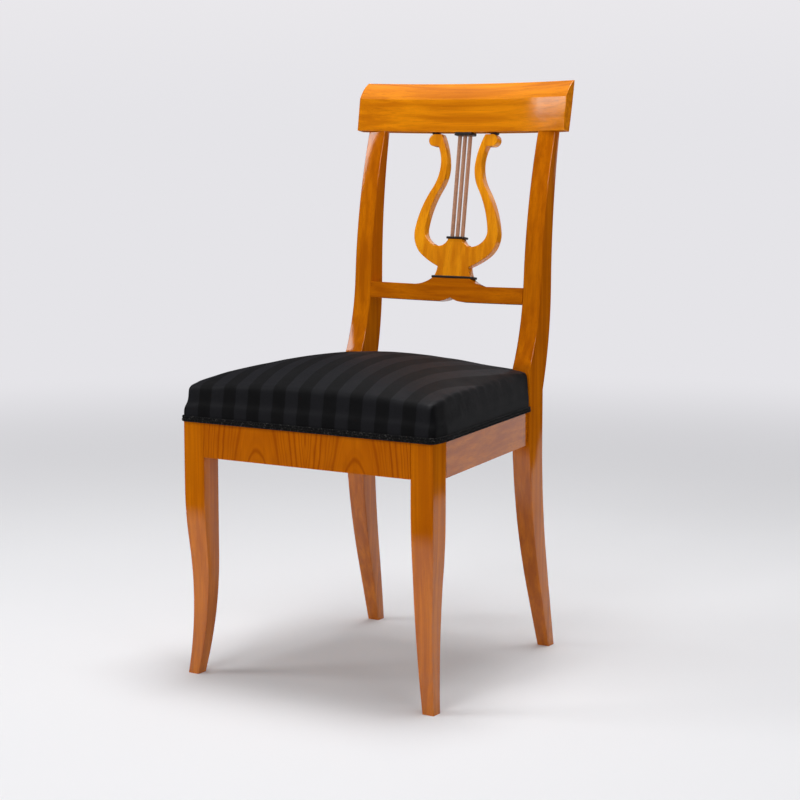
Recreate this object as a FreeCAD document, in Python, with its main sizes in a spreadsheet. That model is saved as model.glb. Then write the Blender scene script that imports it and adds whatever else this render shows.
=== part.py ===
import FreeCAD, Part
import math
import os

import Sketcher

# A dining chair with a lyre in its back, as an assembly of separate pieces.
# Millimetres. The chair faces -Y, +X is to its right as seen from the front, +Z is up,
# and the origin lies on the floor under the middle of the whole chair.

Vector = FreeCAD.Vector
doc = FreeCAD.newDocument("lyre_back_chair")
sheet = doc.addObject("Spreadsheet::Sheet", "Sizes")

# Driving dimensions: name, value in millimetres or degrees, meaning
DIMENSIONS = [
    ("front_face", -247.9, "where the front face of the seat frame lies along Y"),
    ("front_width", 450, "over the front legs"),
    ("back_width", 356, "over the back posts"),
    ("rail_bottom", 345.3, "underside of the seat rails above the floor"),
    ("rail_height", 68.7, "seat rails, top to bottom"),
    ("joint_play", 0.2, "room round a tenon, a dowel or a screw"),
    ("end_play", 1, "room past the end of a tenon, a dowel or a screw"),
    ("arris", 1.6, "rounding of the sharp edges of legs and posts"),
    ("fine_arris", 1, "rounding of the sharp edges of the fretted lyre and crest"),
    ("leg_width", 38, "front leg at the seat, across the chair"),
    ("leg_depth", 37.5, "front leg at the seat, front to back"),
    ("leg_front_start", 310, "height where the front leg starts to sweep back"),
    ("leg_front_turn", 215, "height where that sweep turns"),
    ("leg_front_turn_back", 4.8, "how far back it is there"),
    ("leg_foot_back", 3.3, "how far back the toe is"),
    ("leg_side_start", 285, "height where the front leg starts to draw in"),
    ("leg_side_turn", 205, "height where that turns"),
    ("leg_side_turn_in", 3.3, "how far in it is there"),
    ("leg_rear_start", 185, "height where the rear of the front leg starts to taper"),
    ("leg_inner_start", 190, "height where its inner side starts to taper"),
    ("foot_width", 19.5, "front foot on the floor, across the chair"),
    ("foot_depth", 20, "front foot on the floor, front to back"),
    ("post_front", 375, "front face of the back posts at the seat, behind the front face"),
    ("post_depth", 44.5, "back post at the seat, front to back"),
    ("post_width", 32.8, "back post, across the chair"),
    ("post_sill_rise", 53, "edge where the post starts to sweep back, above the rails"),
    ("rear_leg_start", 395, "height where the back leg starts to sweep back"),
    ("rear_leg_straight", 110, "height where its front edge runs straight to the floor"),
    ("rear_leg_sweep", 40, "how far its front edge has swept back there"),
    ("rear_foot_width", 21.5, "back foot on the floor, across the chair"),
    ("rear_leg_back_start", 350, "height where its rear edge starts to sweep back"),
    ("rear_leg_back_straight", 136, "height where its rear edge runs straight"),
    ("rear_leg_back_sweep", 20.5, "how far its rear edge has swept back there"),
    ("post_waist_rise", 186, "where the post is most upright, above the rails"),
    ("post_waist_back", 33.5, "front of the post there, behind its face at the seat"),
    ("post_bow", 8.3, "how much the front of the post bows above there"),
    ("post_rear_start_rise", 16, "where the rear of the post starts to sweep back"),
    ("post_rear_waist_back", 25.2, "rear of the post at its most upright, behind its rear below"),
    ("post_rear_bow", 6, "how much the rear of the post bows above there"),
    ("post_set_back", 2.4, "front of the post behind the front of the crest rail above it"),
    ("post_top_depth", 14.5, "post under the crest rail, front to back"),
    ("rail_thickness", 20, "seat rails"),
    ("veneer", 2, "sawn veneer on the front rail"),
    ("side_rail_set_in", 4, "side rail face inside the post face at the back"),
    ("rail_tenon_thickness", 10, "tenons of the seat rails"),
    ("rail_tenon_shoulder", 12, "wood above and below those tenons"),
    ("rail_tenon_length", 22, "front and back rail tenons"),
    ("side_tenon_length", 16, "side rail tenons"),
    ("side_tenon_inset", 9, "side tenon inside the outer face of its rail"),
    ("back_rail_inset", 2.5, "back rail in front of the rear of the posts"),
    ("block_height", 38, "corner blocks"),
    ("block_drop", 8, "corner blocks below the top of the rails"),
    ("block_reach", 45, "corner blocks along the rails"),
    ("screw_diameter", 4, "corner block screws"),
    ("screw_head", 8, "diameter of their heads"),
    ("screw_head_height", 2.6, "height of their heads"),
    ("screw_bite", 13, "how far they go into a rail"),
    ("screw_seat", 12, "wood of the block under a screw head"),
    ("back_rake", 8.53, "lean of the lyre and of the two rails that hold it"),
    ("plinth_front", 428, "front of the middle rail at its plinth, behind the front face"),
    ("plinth_above_rails", 188.6, "top of the plinth above the seat rails"),
    ("middle_rail_height", 26.3, "middle rail at its ends"),
    ("middle_rail_thickness", 18.5, "middle rail, front to back"),
    ("middle_rail_bow", 17.7, "how far its ends come forward of its middle"),
    ("middle_tenon_thickness", 9, "its tenons"),
    ("middle_tenon_shoulder", 4, "wood above and below those tenons"),
    ("middle_tenon_length", 20, "length of those tenons"),
    ("plinth_rise", 12, "plinth above the rail's top edge"),
    ("plinth_half_width", 36, "half the width of the plinth's top"),
    ("plinth_cove_end", 73, "where the cove beside the plinth runs out"),
    ("notch_height", 6.5, "pointed notch under the middle rail"),
    ("notch_half_width", 21, "half the width of that notch"),
    ("crest_bottom", 241.7, "underside of the crest rail above the plinth, along the lean"),
    ("crest_half_length", 196.7, "half the crest rail's length"),
    ("crest_height", 84.8, "crest rail, along the lean"),
    ("crest_thickness", 18.6, "crest rail at its lower edge"),
    ("crest_top_back", 24, "how far back its top edge is from its front face"),
    ("crest_roll_start", 54, "height on the rail where its front starts to roll back"),
    ("crest_roll_swell", 3, "swell of that roll"),
    ("crest_hollow", 0.8, "hollow of its rear face"),
    ("crest_bow", 18.8, "how far its ends come forward of its middle"),
    ("post_tenon_thickness", 8, "tenon on top of a post"),
    ("post_tenon_shoulder", 7, "wood beside that tenon, across the chair"),
    ("post_tenon_length", 24, "length of that tenon"),
    ("lyre_thickness", 15, "lyre, front to back"),
    ("lyre_set_back", 1.5, "front of the lyre behind the front of the plinth"),
    ("foot_cap_height", 4, "black plate under the lyre"),
    ("foot_cap_half_width", 40, "half of its width"),
    ("foot_cap_overhang", 2.2, "how far it stands past the lyre, front and back"),
    ("lyre_foot_half_width", 34.3, "lyre's foot at its lower edge"),
    ("lyre_neck_half_width", 29.6, "lyre's foot where it meets the bowl"),
    ("lyre_neck_height", 19.1, "height of that above the plinth"),
    ("bowl_half_width", 79.3, "widest part of the lyre"),
    ("bowl_height", 80.3, "height of that above the plinth"),
    ("bowl_low_across", 62, "point on the underside of the bowl, across"),
    ("bowl_low_height", 37.3, "point on the underside of the bowl, height"),
    ("arm_turn_across", 52, "outer edge of the arm where its curve turns, across"),
    ("arm_turn_height", 148, "outer edge of the arm where its curve turns, height"),
    ("arm_via_across", 71.3, "point on the outer edge below there, across"),
    ("arm_via_height", 110.5, "point on the outer edge below there, height"),
    ("waist_across", 39, "outer edge of the arm at its narrowest, across"),
    ("waist_height", 187.5, "outer edge of the arm at its narrowest, height"),
    ("scroll_corner_across", 46.2, "corner under the scroll, across"),
    ("scroll_across", 55.6, "centre of the scroll, across"),
    ("scroll_radius", 10, "radius of the scroll"),
    ("pad_height", 3, "black pad between scroll and crest rail"),
    ("pad_half_width", 6.5, "half of its width"),
    ("pad_set_back", 1, "how far it stays inside the lyre's faces"),
    ("inner_top_across", 41.7, "inner edge of the arm at its top, across"),
    ("inner_waist_across", 26.8, "inner edge of the arm at its narrowest, across"),
    ("inner_waist_height", 191.5, "inner edge of the arm at its narrowest, height"),
    ("inner_turn_across", 36, "inner edge of the arm where its curve turns, across"),
    ("inner_turn_height", 149, "inner edge of the arm where its curve turns, height"),
    ("inner_via_across", 53.6, "point on the inner edge below there, across"),
    ("inner_via_height", 109.6, "point on the inner edge below there, height"),
    ("inner_wide_across", 59.5, "inner edge of the bowl at its widest, across"),
    ("inner_wide_height", 82.3, "inner edge of the bowl at its widest, height"),
    ("inner_bend_across", 53.5, "point on the bowl's inner bend, across"),
    ("inner_bend_height", 63.5, "point on the bowl's inner bend, height"),
    ("inner_low_across", 36, "lowest point inside the bowl, across"),
    ("inner_low_height", 53.5, "lowest point inside the bowl, height"),
    ("bridge_half_width", 13.2, "half the width of the bridge that holds the strings"),
    ("bridge_height", 65.4, "height of the bridge above the plinth"),
    ("foot_tenon_half_width", 12, "half the width of the tenon under the lyre"),
    ("foot_tenon_thickness", 8, "its thickness"),
    ("foot_tenon_depth", 14, "how far it goes into the plinth"),
    ("string_diameter", 6.6, "the three rods between bridge and crest rail"),
    ("string_pitch", 9.8, "from one rod to the next"),
    ("string_pin_diameter", 4, "pins on the rods' ends"),
    ("string_pin_length", 11, "how far the pins go into lyre and crest rail"),
    ("string_cap_half_width", 17.5, "half the width of the black plates at the rods' ends"),
    ("string_cap_overhang", 1.6, "how far they stand past the lyre, front and back"),
    ("bridge_cap_height", 3.8, "plate under the rods"),
    ("top_cap_height", 5, "plate over the rods"),
    ("cap_corner", 4, "corner radius of the black plates, seen from above"),
    ("cap_round", 1.2, "rounding of their edges"),
    ("dowel_diameter", 5, "dowels between scrolls and crest rail"),
    ("dowel_depth", 11, "how far they go into each"),
    ("strap_width", 50, "webbing"),
    ("strap_thickness", 1.6, "webbing"),
    ("strap_gap", 0.3, "room between straps that cross, and above them"),
    ("strap_hold", 16, "how much of a rail's top each strap end lies on"),
    ("strap_count", 4, "straps each way"),
    ("strap_pitch_across", 66, "from one lengthwise strap to the next"),
    ("strap_first_back", 76, "first crosswise strap behind the front face"),
    ("strap_pitch_back", 80, "from one crosswise strap to the next"),
    ("hessian_thickness", 1, "sacking over the webbing"),
    ("hessian_inset", 9, "sacking inside the outer faces of the frame"),
    ("cover_drop", 13.4, "lower edge of the cover below the top of the rails"),
    ("cover_proud", 2, "cover outside the seat frame"),
    ("cover_proud_side", 3.5, "cover outside the side rail at the posts"),
    ("cover_thickness", 1.5, "cloth and its lining"),
    ("cover_play", 0.3, "room between the cover and what it goes round"),
    ("cover_back", 1.9, "cover behind the back rail"),
    ("draw_in_rise", 7, "where its sides start to draw in, above the rails"),
    ("draw_in_angle", 5.5, "how much they lean in above there"),
    ("roll_radius", 8, "rounded edge round the top of the seat"),
    ("corner_radius", 8, "upright corners of the cover"),
    ("corner_relief", 5, "corner taken off the front legs under the cover"),
    ("dome_overrun", 20, "how far the dome's surface runs past the seat"),
    ("side_rise_front", 26, "side edge of the dome before the front, above the draw-in"),
    ("side_rise_legs", 43, "the same behind the front legs"),
    ("side_rise_middle", 41.5, "the same in the middle"),
    ("side_rise_posts", 42, "the same before the posts"),
    ("side_rise_back", 29, "the same behind the back"),
    ("crown_front", 3, "crown above the side edges before the front"),
    ("crown_legs", 30, "the same behind the front legs"),
    ("crown_middle", 37.5, "the same in the middle"),
    ("crown_posts", 24, "the same before the posts"),
    ("crown_back", 8, "the same behind the back"),
    ("middle_of_seat", 200, "where the crown is highest, behind the front face"),
    ("gimp_drop", 1.6, "lower edge of the braid below that of the cover"),
    ("gimp_height", 9.5, "width of the braid"),
    ("gimp_thickness", 2, "thickness of the braid"),
    ("gimp_corner", 10, "outer radius of the braid at the front corners"),
]


class Size:
    """A length or angle that keeps its value and the sheet formula it comes from."""

    def __init__(self, value, formula):
        self.value = value
        self.formula = formula

    def __add__(self, other):
        return Size(self.value + value_of(other), f"({self.formula} + {formula_of(other)})")

    def __radd__(self, other):
        return Size(value_of(other) + self.value, f"({formula_of(other)} + {self.formula})")

    def __sub__(self, other):
        return Size(self.value - value_of(other), f"({self.formula} - {formula_of(other)})")

    def __rsub__(self, other):
        return Size(value_of(other) - self.value, f"({formula_of(other)} - {self.formula})")

    def __mul__(self, other):
        return Size(self.value * value_of(other), f"({self.formula} * {formula_of(other)})")

    def __rmul__(self, other):
        return self * other

    def __truediv__(self, other):
        return Size(self.value / value_of(other), f"({self.formula} / {formula_of(other)})")

    def __neg__(self):
        return Size(-self.value, f"(0 - {self.formula})")


def value_of(size):
    return size.value if isinstance(size, Size) else float(size)


def formula_of(size):
    return size.formula if isinstance(size, Size) else repr(size)


def sine(angle):
    return Size(math.sin(math.radians(angle.value)), f"sin({angle.formula})")


def cosine(angle):
    return Size(math.cos(math.radians(angle.value)), f"cos({angle.formula})")


def fill_sheet():
    """Write the driving dimensions into the sheet and return them by name."""
    sizes = {}
    for row, (name, value, meaning) in enumerate(DIMENSIONS, start=1):
        sheet.set(f"A{row}", meaning)
        sheet.set(f"B{row}", str(value))
        sheet.setAlias(f"B{row}", name)
        sizes[name] = Size(float(value), f"Sizes.{name}")
    return sizes


class Names:
    """The driving dimensions as attributes."""

    def __init__(self, sizes):
        self.__dict__.update(sizes)


s = Names(fill_sheet())
doc.recompute()

# Plane of a sketch: its role, the direction its normal has along the global axis
PLANES = {"XY": ("XY_Plane", 1), "XZ": ("XZ_Plane", -1), "YZ": ("YZ_Plane", 1)}
FAR = 600
AFTER, BEFORE = "after", "before"
parts = []


def new_body(label):
    body = doc.addObject("PartDesign::Body", label)
    body.Label = label
    return body


def keep(piece):
    """Put a finished piece on the list of those that are written out."""
    parts.append(piece)
    return piece


def bind(target, path, size):
    if isinstance(size, Size):
        target.setExpression(path, size.formula)


def new_sketch(body, plane, offset):
    """A sketch on one of the body's own planes, moved along the plane's axis to offset."""
    role, direction = PLANES[plane]
    support = [item for item in body.Origin.OriginFeatures if item.Role == role][0]
    sketch = body.newObject("Sketcher::SketchObject", f"{body.Label}_outline")
    sketch.AttachmentSupport = [(support, "")]
    sketch.MapMode = "FlatFace"
    place = offset * direction
    sketch.AttachmentOffset = FreeCAD.Placement(Vector(0, 0, value_of(place)), FreeCAD.Rotation())
    bind(sketch, ".AttachmentOffset.Base.z", place)
    return sketch


def fix_point(sketch, geometry, position, across, up):
    """Hold a point of a sketch at two sizes from the sketch's origin."""
    for kind, size in (("DistanceX", across), ("DistanceY", up)):
        index = sketch.addConstraint(
            Sketcher.Constraint(kind, -1, 1, geometry, position, value_of(size)))
        if isinstance(size, Size):
            sketch.setExpression(f"Constraints[{index}]", size.formula)


def arc_through(start, via, end):
    """An arc that runs anticlockwise, and whether it starts at the given start."""
    circle = Part.Circle(start, via, end)
    centre, radius = circle.Center, circle.Radius
    turn = (via - start).cross(end - via).z
    first, last = (start, end) if turn > 0 else (end, start)
    angles = [math.atan2(point.y - centre.y, point.x - centre.x) for point in (first, last)]
    if angles[1] < angles[0]:
        angles[1] += 2 * math.pi
    full = Part.Circle(centre, Vector(0, 0, 1), radius)
    return Part.ArcOfCircle(full, angles[0], angles[1]), turn > 0


def smooth_via(start, tangent, end):
    """The middle of the arc that leaves start along tangent and reaches end."""
    chord = end - start
    turn = math.atan2(tangent.cross(chord).z, tangent.dot(chord))
    middle = (start + end) / 2
    side = Vector(chord.y, -chord.x, 0)
    return middle + side * (math.tan(turn / 2) / 2)


def tangent_at_end(start, via, end):
    """The direction in which a line, or the arc through via, arrives at its end."""
    if via is None:
        return end - start
    centre = Part.Circle(start, via, end).Center
    radial = end - centre
    turn = 1 if (via - start).cross(end - via).z > 0 else -1
    return Vector(-radial.y, radial.x, 0) * turn


def arc_vias(corners, points):
    """A point on each arc of an outline; smooth arcs take theirs from what they touch."""
    count = len(corners)
    vias = {}
    for index, corner in enumerate(corners):
        if len(corner) == 4:
            vias[index] = Vector(value_of(corner[2]), value_of(corner[3]), 0)
    for index in range(count):
        if corners[index][2:] == (AFTER,):
            tangent = tangent_at_end(points[index - 1], vias.get(index - 1), points[index])
            vias[index] = smooth_via(points[index], tangent, points[(index + 1) % count])
    for index in reversed(range(count)):
        if corners[index][2:] == (BEFORE,):
            joint = (index + 1) % count
            tangent = tangent_at_end(points[(joint + 1) % count], vias.get(joint), points[joint])
            vias[index] = smooth_via(points[joint], tangent, points[index])
    return vias


def add_outline(sketch, corners):
    """Draw a closed outline from its corners.

    A corner is (x, y), or (x, y, via_x, via_y) where an arc leaves it, or (x, y, AFTER) or
    (x, y, BEFORE) where an arc leaves it that runs smoothly out of what comes before or into
    what comes after."""
    points = [Vector(value_of(corner[0]), value_of(corner[1]), 0) for corner in corners]
    count = len(corners)
    first = sketch.GeometryCount
    vias = arc_vias(corners, points)
    ends = []
    for index in range(count):
        start, end = points[index], points[(index + 1) % count]
        if index not in vias:
            sketch.addGeometry(Part.LineSegment(start, end), False)
            ends.append((1, 2))
            continue
        arc, forward = arc_through(start, vias[index], end)
        sketch.addGeometry(arc, False)
        ends.append((1, 2) if forward else (2, 1))
    for index, corner in enumerate(corners):
        following = (index + 1) % count
        smooth = corners[following][2:] == (AFTER,) or corner[2:] == (BEFORE,)
        sketch.addConstraint(Sketcher.Constraint(
            "Tangent" if smooth else "Coincident",
            first + index, ends[index][1], first + following, ends[following][0]))
    for index, corner in enumerate(corners):
        fix_point(sketch, first + index, ends[index][0], corner[0], corner[1])
        if len(corner) == 4:
            point = sketch.addGeometry(Part.Point(vias[index]), True)
            fix_point(sketch, point, 1, corner[2], corner[3])
            sketch.addConstraint(Sketcher.Constraint("PointOnObject", point, 1, first + index))


def add_circle(sketch, across, up, diameter):
    centre = Vector(value_of(across), value_of(up), 0)
    circle = sketch.addGeometry(Part.Circle(centre, Vector(0, 0, 1), value_of(diameter) / 2), False)
    fix_point(sketch, circle, 3, across, up)
    index = sketch.addConstraint(Sketcher.Constraint("Diameter", circle, value_of(diameter)))
    bind(sketch, f"Constraints[{index}]", diameter)


def rectangle(low_x, low_y, high_x, high_y):
    return [(low_x, low_y), (high_x, low_y), (high_x, high_y), (low_x, high_y)]


def rounded_rectangle(half_x, low_y, high_y, radius):
    """A rectangle about x = 0 whose corners are quarter circles."""
    near = radius * (1 - math.sqrt(0.5))
    return [
        (radius - half_x, low_y), (half_x - radius, low_y, half_x - near, low_y + near),
        (half_x, low_y + radius), (half_x, high_y - radius, half_x - near, high_y - near),
        (half_x - radius, high_y), (radius - half_x, high_y, near - half_x, high_y - near),
        (-half_x, high_y - radius), (-half_x, low_y + radius, near - half_x, low_y + near)]


def extrude(body, kind, sketch, length):
    """Pad or pocket a sketch towards the positive side of its axis."""
    towards_plus = {"PartDesign::Pad": 1, "PartDesign::Pocket": -1}[kind]
    normal = 1 if sketch.Placement.Rotation.multVec(Vector(0, 0, 1)).dot(Vector(1, 1, 1)) > 0 else -1
    before = body.Shape.Volume if body.Tip else 0
    feature = body.newObject(kind, f"{body.Label}_{kind.split('::')[1].lower()}")
    feature.Profile = sketch
    feature.Length = value_of(length)
    bind(feature, "Length", length)
    feature.Reversed = normal * towards_plus < 0
    doc.recompute()
    change = (body.Shape.Volume - before) * towards_plus
    if change < 1e-3:
        raise ValueError(f"{feature.Label} changes nothing")
    return feature


def pad(body, plane, low, high, outlines):
    sketch = new_sketch(body, plane, low)
    for outline in outlines:
        add_outline(sketch, outline)
    doc.recompute()
    return extrude(body, "PartDesign::Pad", sketch, high - low)


def pocket(body, plane, low, high, outlines):
    sketch = new_sketch(body, plane, low)
    for outline in outlines:
        add_outline(sketch, outline)
    doc.recompute()
    return extrude(body, "PartDesign::Pocket", sketch, high - low)


def bore(body, plane, low, high, centres, diameter):
    """Round holes along the plane's axis from low to high."""
    sketch = new_sketch(body, plane, low)
    for across, up in centres:
        add_circle(sketch, across, up, diameter)
    doc.recompute()
    return extrude(body, "PartDesign::Pocket", sketch, high - low)


def trim(body, plane, outline):
    """Cut away all that lies outside an outline, along the plane's axis."""
    return pocket(body, plane, Size(-FAR, str(-FAR)), Size(FAR, str(FAR)),
                  [rectangle(-FAR, -FAR, FAR, 2 * FAR), outline])


def dress_edges(body, kind, size, wanted):
    """Fillet or chamfer the edges of a body that the test wants."""
    names = []
    for index, edge in enumerate(body.Shape.Edges, start=1):
        if edge.Length > size.value and wanted(edge):
            names.append(f"Edge{index}")
    base = body.Tip
    feature = body.newObject(f"PartDesign::{kind}", f"{body.Label}_{kind.lower()}")
    feature.Base = (base, names)
    width = {"Fillet": "Radius", "Chamfer": "Size"}[kind]
    setattr(feature, width, size.value)
    bind(feature, width, size)
    doc.recompute()
    if not feature.isValid() or feature.Shape.isNull():
        raise ValueError(f"{feature.Label} cannot be made")
    return feature


def round_edges(body, radius, wanted):
    return dress_edges(body, "Fillet", radius, wanted)


def ease_edges(body, size, wanted):
    return dress_edges(body, "Chamfer", size, wanted)


def middle_of(edge):
    return edge.valueAt((edge.FirstParameter + edge.LastParameter) / 2)


def direction_of(edge):
    return edge.tangentAt((edge.FirstParameter + edge.LastParameter) / 2)


def mirrored(outline, side):
    """The same outline on the right side (1) or the left side (-1)."""
    swapped = []
    for corner in outline:
        flipped = list(corner)
        flipped[0] = corner[0] * side
        if len(corner) == 4:
            flipped[2] = corner[2] * side
        swapped.append(tuple(flipped))
    return swapped


def across_range(low, high, side):
    """The range low to high on the right side, or its mirror image on the left."""
    return (low, high) if side > 0 else (-high, -low)


def back(size):
    """A place along Y, given as a depth behind the front face of the frame."""
    return s.front_face + size


def lean(depth, height):
    """Y and Z of a point given in the leaning frame of the lyre."""
    y = back(s.plinth_front) + depth * cosine(s.back_rake) + height * sine(s.back_rake)
    z = plinth_height - depth * sine(s.back_rake) + height * cosine(s.back_rake)
    return y, z


def lean_body(label):
    """A body that stands in the leaning frame of the lyre, its origin on the plinth's front."""
    body = new_body(label)
    y, z = lean(s.front_width * 0, s.front_width * 0)
    turn = FreeCAD.Rotation(Vector(-1, 0, 0), s.back_rake.value)
    body.Placement = FreeCAD.Placement(Vector(0, y.value, z.value), turn)
    bind(body, ".Placement.Base.y", back(s.plinth_front))
    bind(body, ".Placement.Base.z", plinth_height)
    bind(body, ".Placement.Rotation.Angle", s.back_rake)
    return body


def sabre_edge(start, turn, foot):
    """Corners of a leg edge that runs upright to start, then in an S through turn to the foot."""
    return [(*start, AFTER), (*turn, AFTER), (foot, 0)]


# Front legs: sawn to a curve in both views, square at the seat
rail_top = s.rail_bottom + s.rail_height
plinth_height = rail_top + s.plinth_above_rails
post_sill = rail_top + s.post_sill_rise
post_waist = rail_top + s.post_waist_rise
cover_bottom = rail_top - s.cover_drop
draw_in_start = rail_top + s.draw_in_rise
half_front = s.front_width / 2
half_back = s.back_width / 2
leg_inner = half_front - s.leg_width
tenon_low = s.rail_bottom + s.rail_tenon_shoulder
tenon_high = rail_top - s.rail_tenon_shoulder
veneer_back = back(s.veneer)
front_rail_back = back(s.veneer + s.rail_thickness)
front_tenon_near = veneer_back + (s.rail_thickness - s.rail_tenon_thickness) / 2
front_tenon_far = front_tenon_near + s.rail_tenon_thickness
leg_rear = back(s.leg_depth)
post_face = back(s.post_front)
post_rear = back(s.post_front + s.post_depth)
post_inner = half_back - s.post_width
side_outer_back = half_back - s.side_rail_set_in
side_run = s.post_front - s.leg_depth
side_slope = (half_front - side_outer_back) / side_run


def side_face(depth, inset):
    """X of a line parallel to the side rail's outer face, at a depth behind the front face."""
    return half_front - inset - (depth - s.leg_depth) * side_slope


def side_tenon(start, end, play):
    """Plan of a side rail tenon between two depths, grown by play on its cheeks."""
    near, far = s.side_tenon_inset - play, s.side_tenon_inset + s.rail_tenon_thickness + play
    return [(side_face(start, far), back(start)), (side_face(start, near), back(start)),
            (side_face(end, near), back(end)), (side_face(end, far), back(end))]


def front_leg(side, label):
    body = new_body(label)
    foot_front = back(s.leg_foot_back)
    front_edge = sabre_edge((back(0), s.leg_front_start),
                            (back(s.leg_front_turn_back), s.leg_front_turn), foot_front)
    rear_foot = foot_front + s.foot_depth
    profile = [(back(0), rail_top)] + front_edge + [
        (rear_foot, 0, BEFORE), (leg_rear, s.leg_rear_start),
        (leg_rear, rail_top)]
    wide = half_front + s.leg_width
    pad(body, "YZ", *across_range(leg_inner - s.leg_width, wide, side), [profile])
    outer_edge = sabre_edge((half_front, s.leg_side_start),
                            (half_front - s.leg_side_turn_in, s.leg_side_turn), half_front)
    inner_foot = half_front - s.foot_width
    face = [(half_front, rail_top)] + outer_edge + [
        (inner_foot, 0, BEFORE), (leg_inner, s.leg_inner_start),
        (leg_inner, rail_top)]
    trim(body, "XZ", mirrored(face, side))
    round_edges(body, s.arris, lambda edge: abs(direction_of(edge).z) > 0.9)
    over = s.end_play
    pocket(body, "XY", cover_bottom, rail_top + over, [mirrored([
        (half_front - s.corner_relief - over, back(-over)), (half_front + over, back(-over)),
        (half_front + over, back(s.corner_relief + over))], side)])
    play = s.joint_play
    pocket(body, "XY", tenon_low - play, tenon_high + play,
           [mirrored(rectangle(leg_inner - play, front_tenon_near - play,
                               leg_inner + s.rail_tenon_length + s.end_play,
                               front_tenon_far + play), side)])
    start = s.leg_depth - s.side_tenon_length - s.end_play
    pocket(body, "XY", tenon_low - play, tenon_high + play,
           [mirrored(side_tenon(start, s.leg_depth + play, play), side)])
    return keep(body)


# Back legs: leg and post are one piece, swept back below and above the seat
post_middle = half_back - s.post_width / 2
crest_front_at_post = -s.crest_bow * post_middle * post_middle \
    / (s.crest_half_length * s.crest_half_length)
post_top_front = crest_front_at_post + s.post_set_back
tenon_front = post_top_front + (s.post_top_depth - s.post_tenon_thickness) / 2
post_tenon_inner = post_inner + s.post_tenon_shoulder
post_tenon_outer = half_back - s.post_tenon_shoulder
back_rail_rear = post_rear - s.back_rail_inset
back_rail_front = back_rail_rear - s.rail_thickness
back_tenon_near = back_rail_front + (s.rail_thickness - s.rail_tenon_thickness) / 2
middle_top = -s.plinth_rise
middle_bottom = middle_top - s.middle_rail_height
middle_tenon_front = -s.middle_rail_bow + (s.middle_rail_thickness - s.middle_tenon_thickness) / 2


def leaning_rectangle(near, low, far, high):
    """A rectangle of the leaning frame as an outline in Y and Z."""
    return [lean(near, low), lean(far, low), lean(far, high), lean(near, high)]


def middle_tenon(play):
    return leaning_rectangle(middle_tenon_front - play, middle_bottom + s.middle_tenon_shoulder - play,
                             middle_tenon_front + s.middle_tenon_thickness + play,
                             middle_top - s.middle_tenon_shoulder + play)


def double_slope(rise, run):
    """The slope that an arc starting straight has reached after a rise over a run."""
    return rise * run * 2 / (run * run - rise * rise)


def between(first, second, share):
    """The point that lies a share of the way from the first point to the second."""
    return first[0] + (second[0] - first[0]) * share, first[1] + (second[1] - first[1]) * share


def back_leg(side, label):
    body = new_body(label)
    straight = (post_face + s.rear_leg_sweep, s.rear_leg_straight)
    foot_front = straight[0] + s.rear_leg_straight * double_slope(
        s.rear_leg_sweep, s.rear_leg_start - s.rear_leg_straight)
    rear_straight = (post_rear + s.rear_leg_back_sweep, s.rear_leg_back_straight)
    foot_rear = rear_straight[0] + s.rear_leg_back_straight * double_slope(
        s.rear_leg_back_sweep, s.rear_leg_back_start - s.rear_leg_back_straight)
    sill = (post_face, post_sill)
    waist = (post_face + s.post_waist_back, post_waist)
    top_front = lean(post_top_front, s.crest_bottom)
    top_rear = lean(post_top_front + s.post_top_depth, s.crest_bottom)
    rear_start = (post_rear, rail_top + s.post_rear_start_rise)
    rear_waist = (post_rear + s.post_rear_waist_back, post_waist)
    bow = between(waist, top_front, 0.5)
    rear_bow = between(rear_waist, top_rear, 0.5)
    profile = [
        (foot_front, 0), (*straight, AFTER), (post_face, s.rear_leg_start),
        (*sill, BEFORE),
        (*waist, bow[0] - s.post_bow, bow[1]),
        top_front, (*top_rear, rear_bow[0] - s.post_rear_bow, rear_bow[1]),
        (*rear_waist, AFTER), rear_start, (post_rear, s.rear_leg_back_start, AFTER), rear_straight,
        (foot_rear, 0)]
    pad(body, "YZ", *across_range(post_inner - s.post_width, half_back, side), [profile])
    inner_foot = half_back - s.rear_foot_width
    height = plinth_height + s.crest_bottom + s.crest_height
    face = [(half_back, height), (half_back, 0),
            (inner_foot, 0, BEFORE), (post_inner, s.rail_bottom),
            (post_inner, height)]
    trim(body, "XZ", mirrored(face, side))
    ease_edges(body, s.arris, lambda edge: edge.Length > s.post_width.value
               and abs(direction_of(edge).x) < 0.5)
    grip = s.post_tenon_thickness / 4
    top = s.crest_bottom + s.post_tenon_length
    pad(body, "YZ", *across_range(post_tenon_inner, post_tenon_outer, side),
        [leaning_rectangle(tenon_front, s.crest_bottom - grip,
                           tenon_front + s.post_tenon_thickness, top)])
    play = s.joint_play
    pocket(body, "XY", tenon_low - play, tenon_high + play,
           [mirrored(side_tenon(s.post_front - play,
                                s.post_front + s.side_tenon_length + s.end_play, play), side)])
    pocket(body, "XY", tenon_low - play, tenon_high + play,
           [mirrored(rectangle(post_inner - play, back_tenon_near - play,
                               post_inner + s.rail_tenon_length + s.end_play,
                               back_tenon_near + s.rail_tenon_thickness + play), side)])
    depth = post_inner + s.middle_tenon_length + s.end_play
    pocket(body, "YZ", *across_range(post_inner - play, depth, side), [middle_tenon(play)])
    return keep(body)


# Seat rails, tenoned into the legs
def tenoned_rail(label, half_length, near, far, tenon_near):
    """A straight rail between two legs, with a tenon on each end."""
    body = new_body(label)
    pad(body, "XY", s.rail_bottom, rail_top, [rectangle(-half_length, near, half_length, far)])
    reach = half_length + s.rail_tenon_length
    pad(body, "XY", tenon_low, tenon_high,
        [rectangle(-reach, tenon_near, reach, tenon_near + s.rail_tenon_thickness)])
    return body


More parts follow.
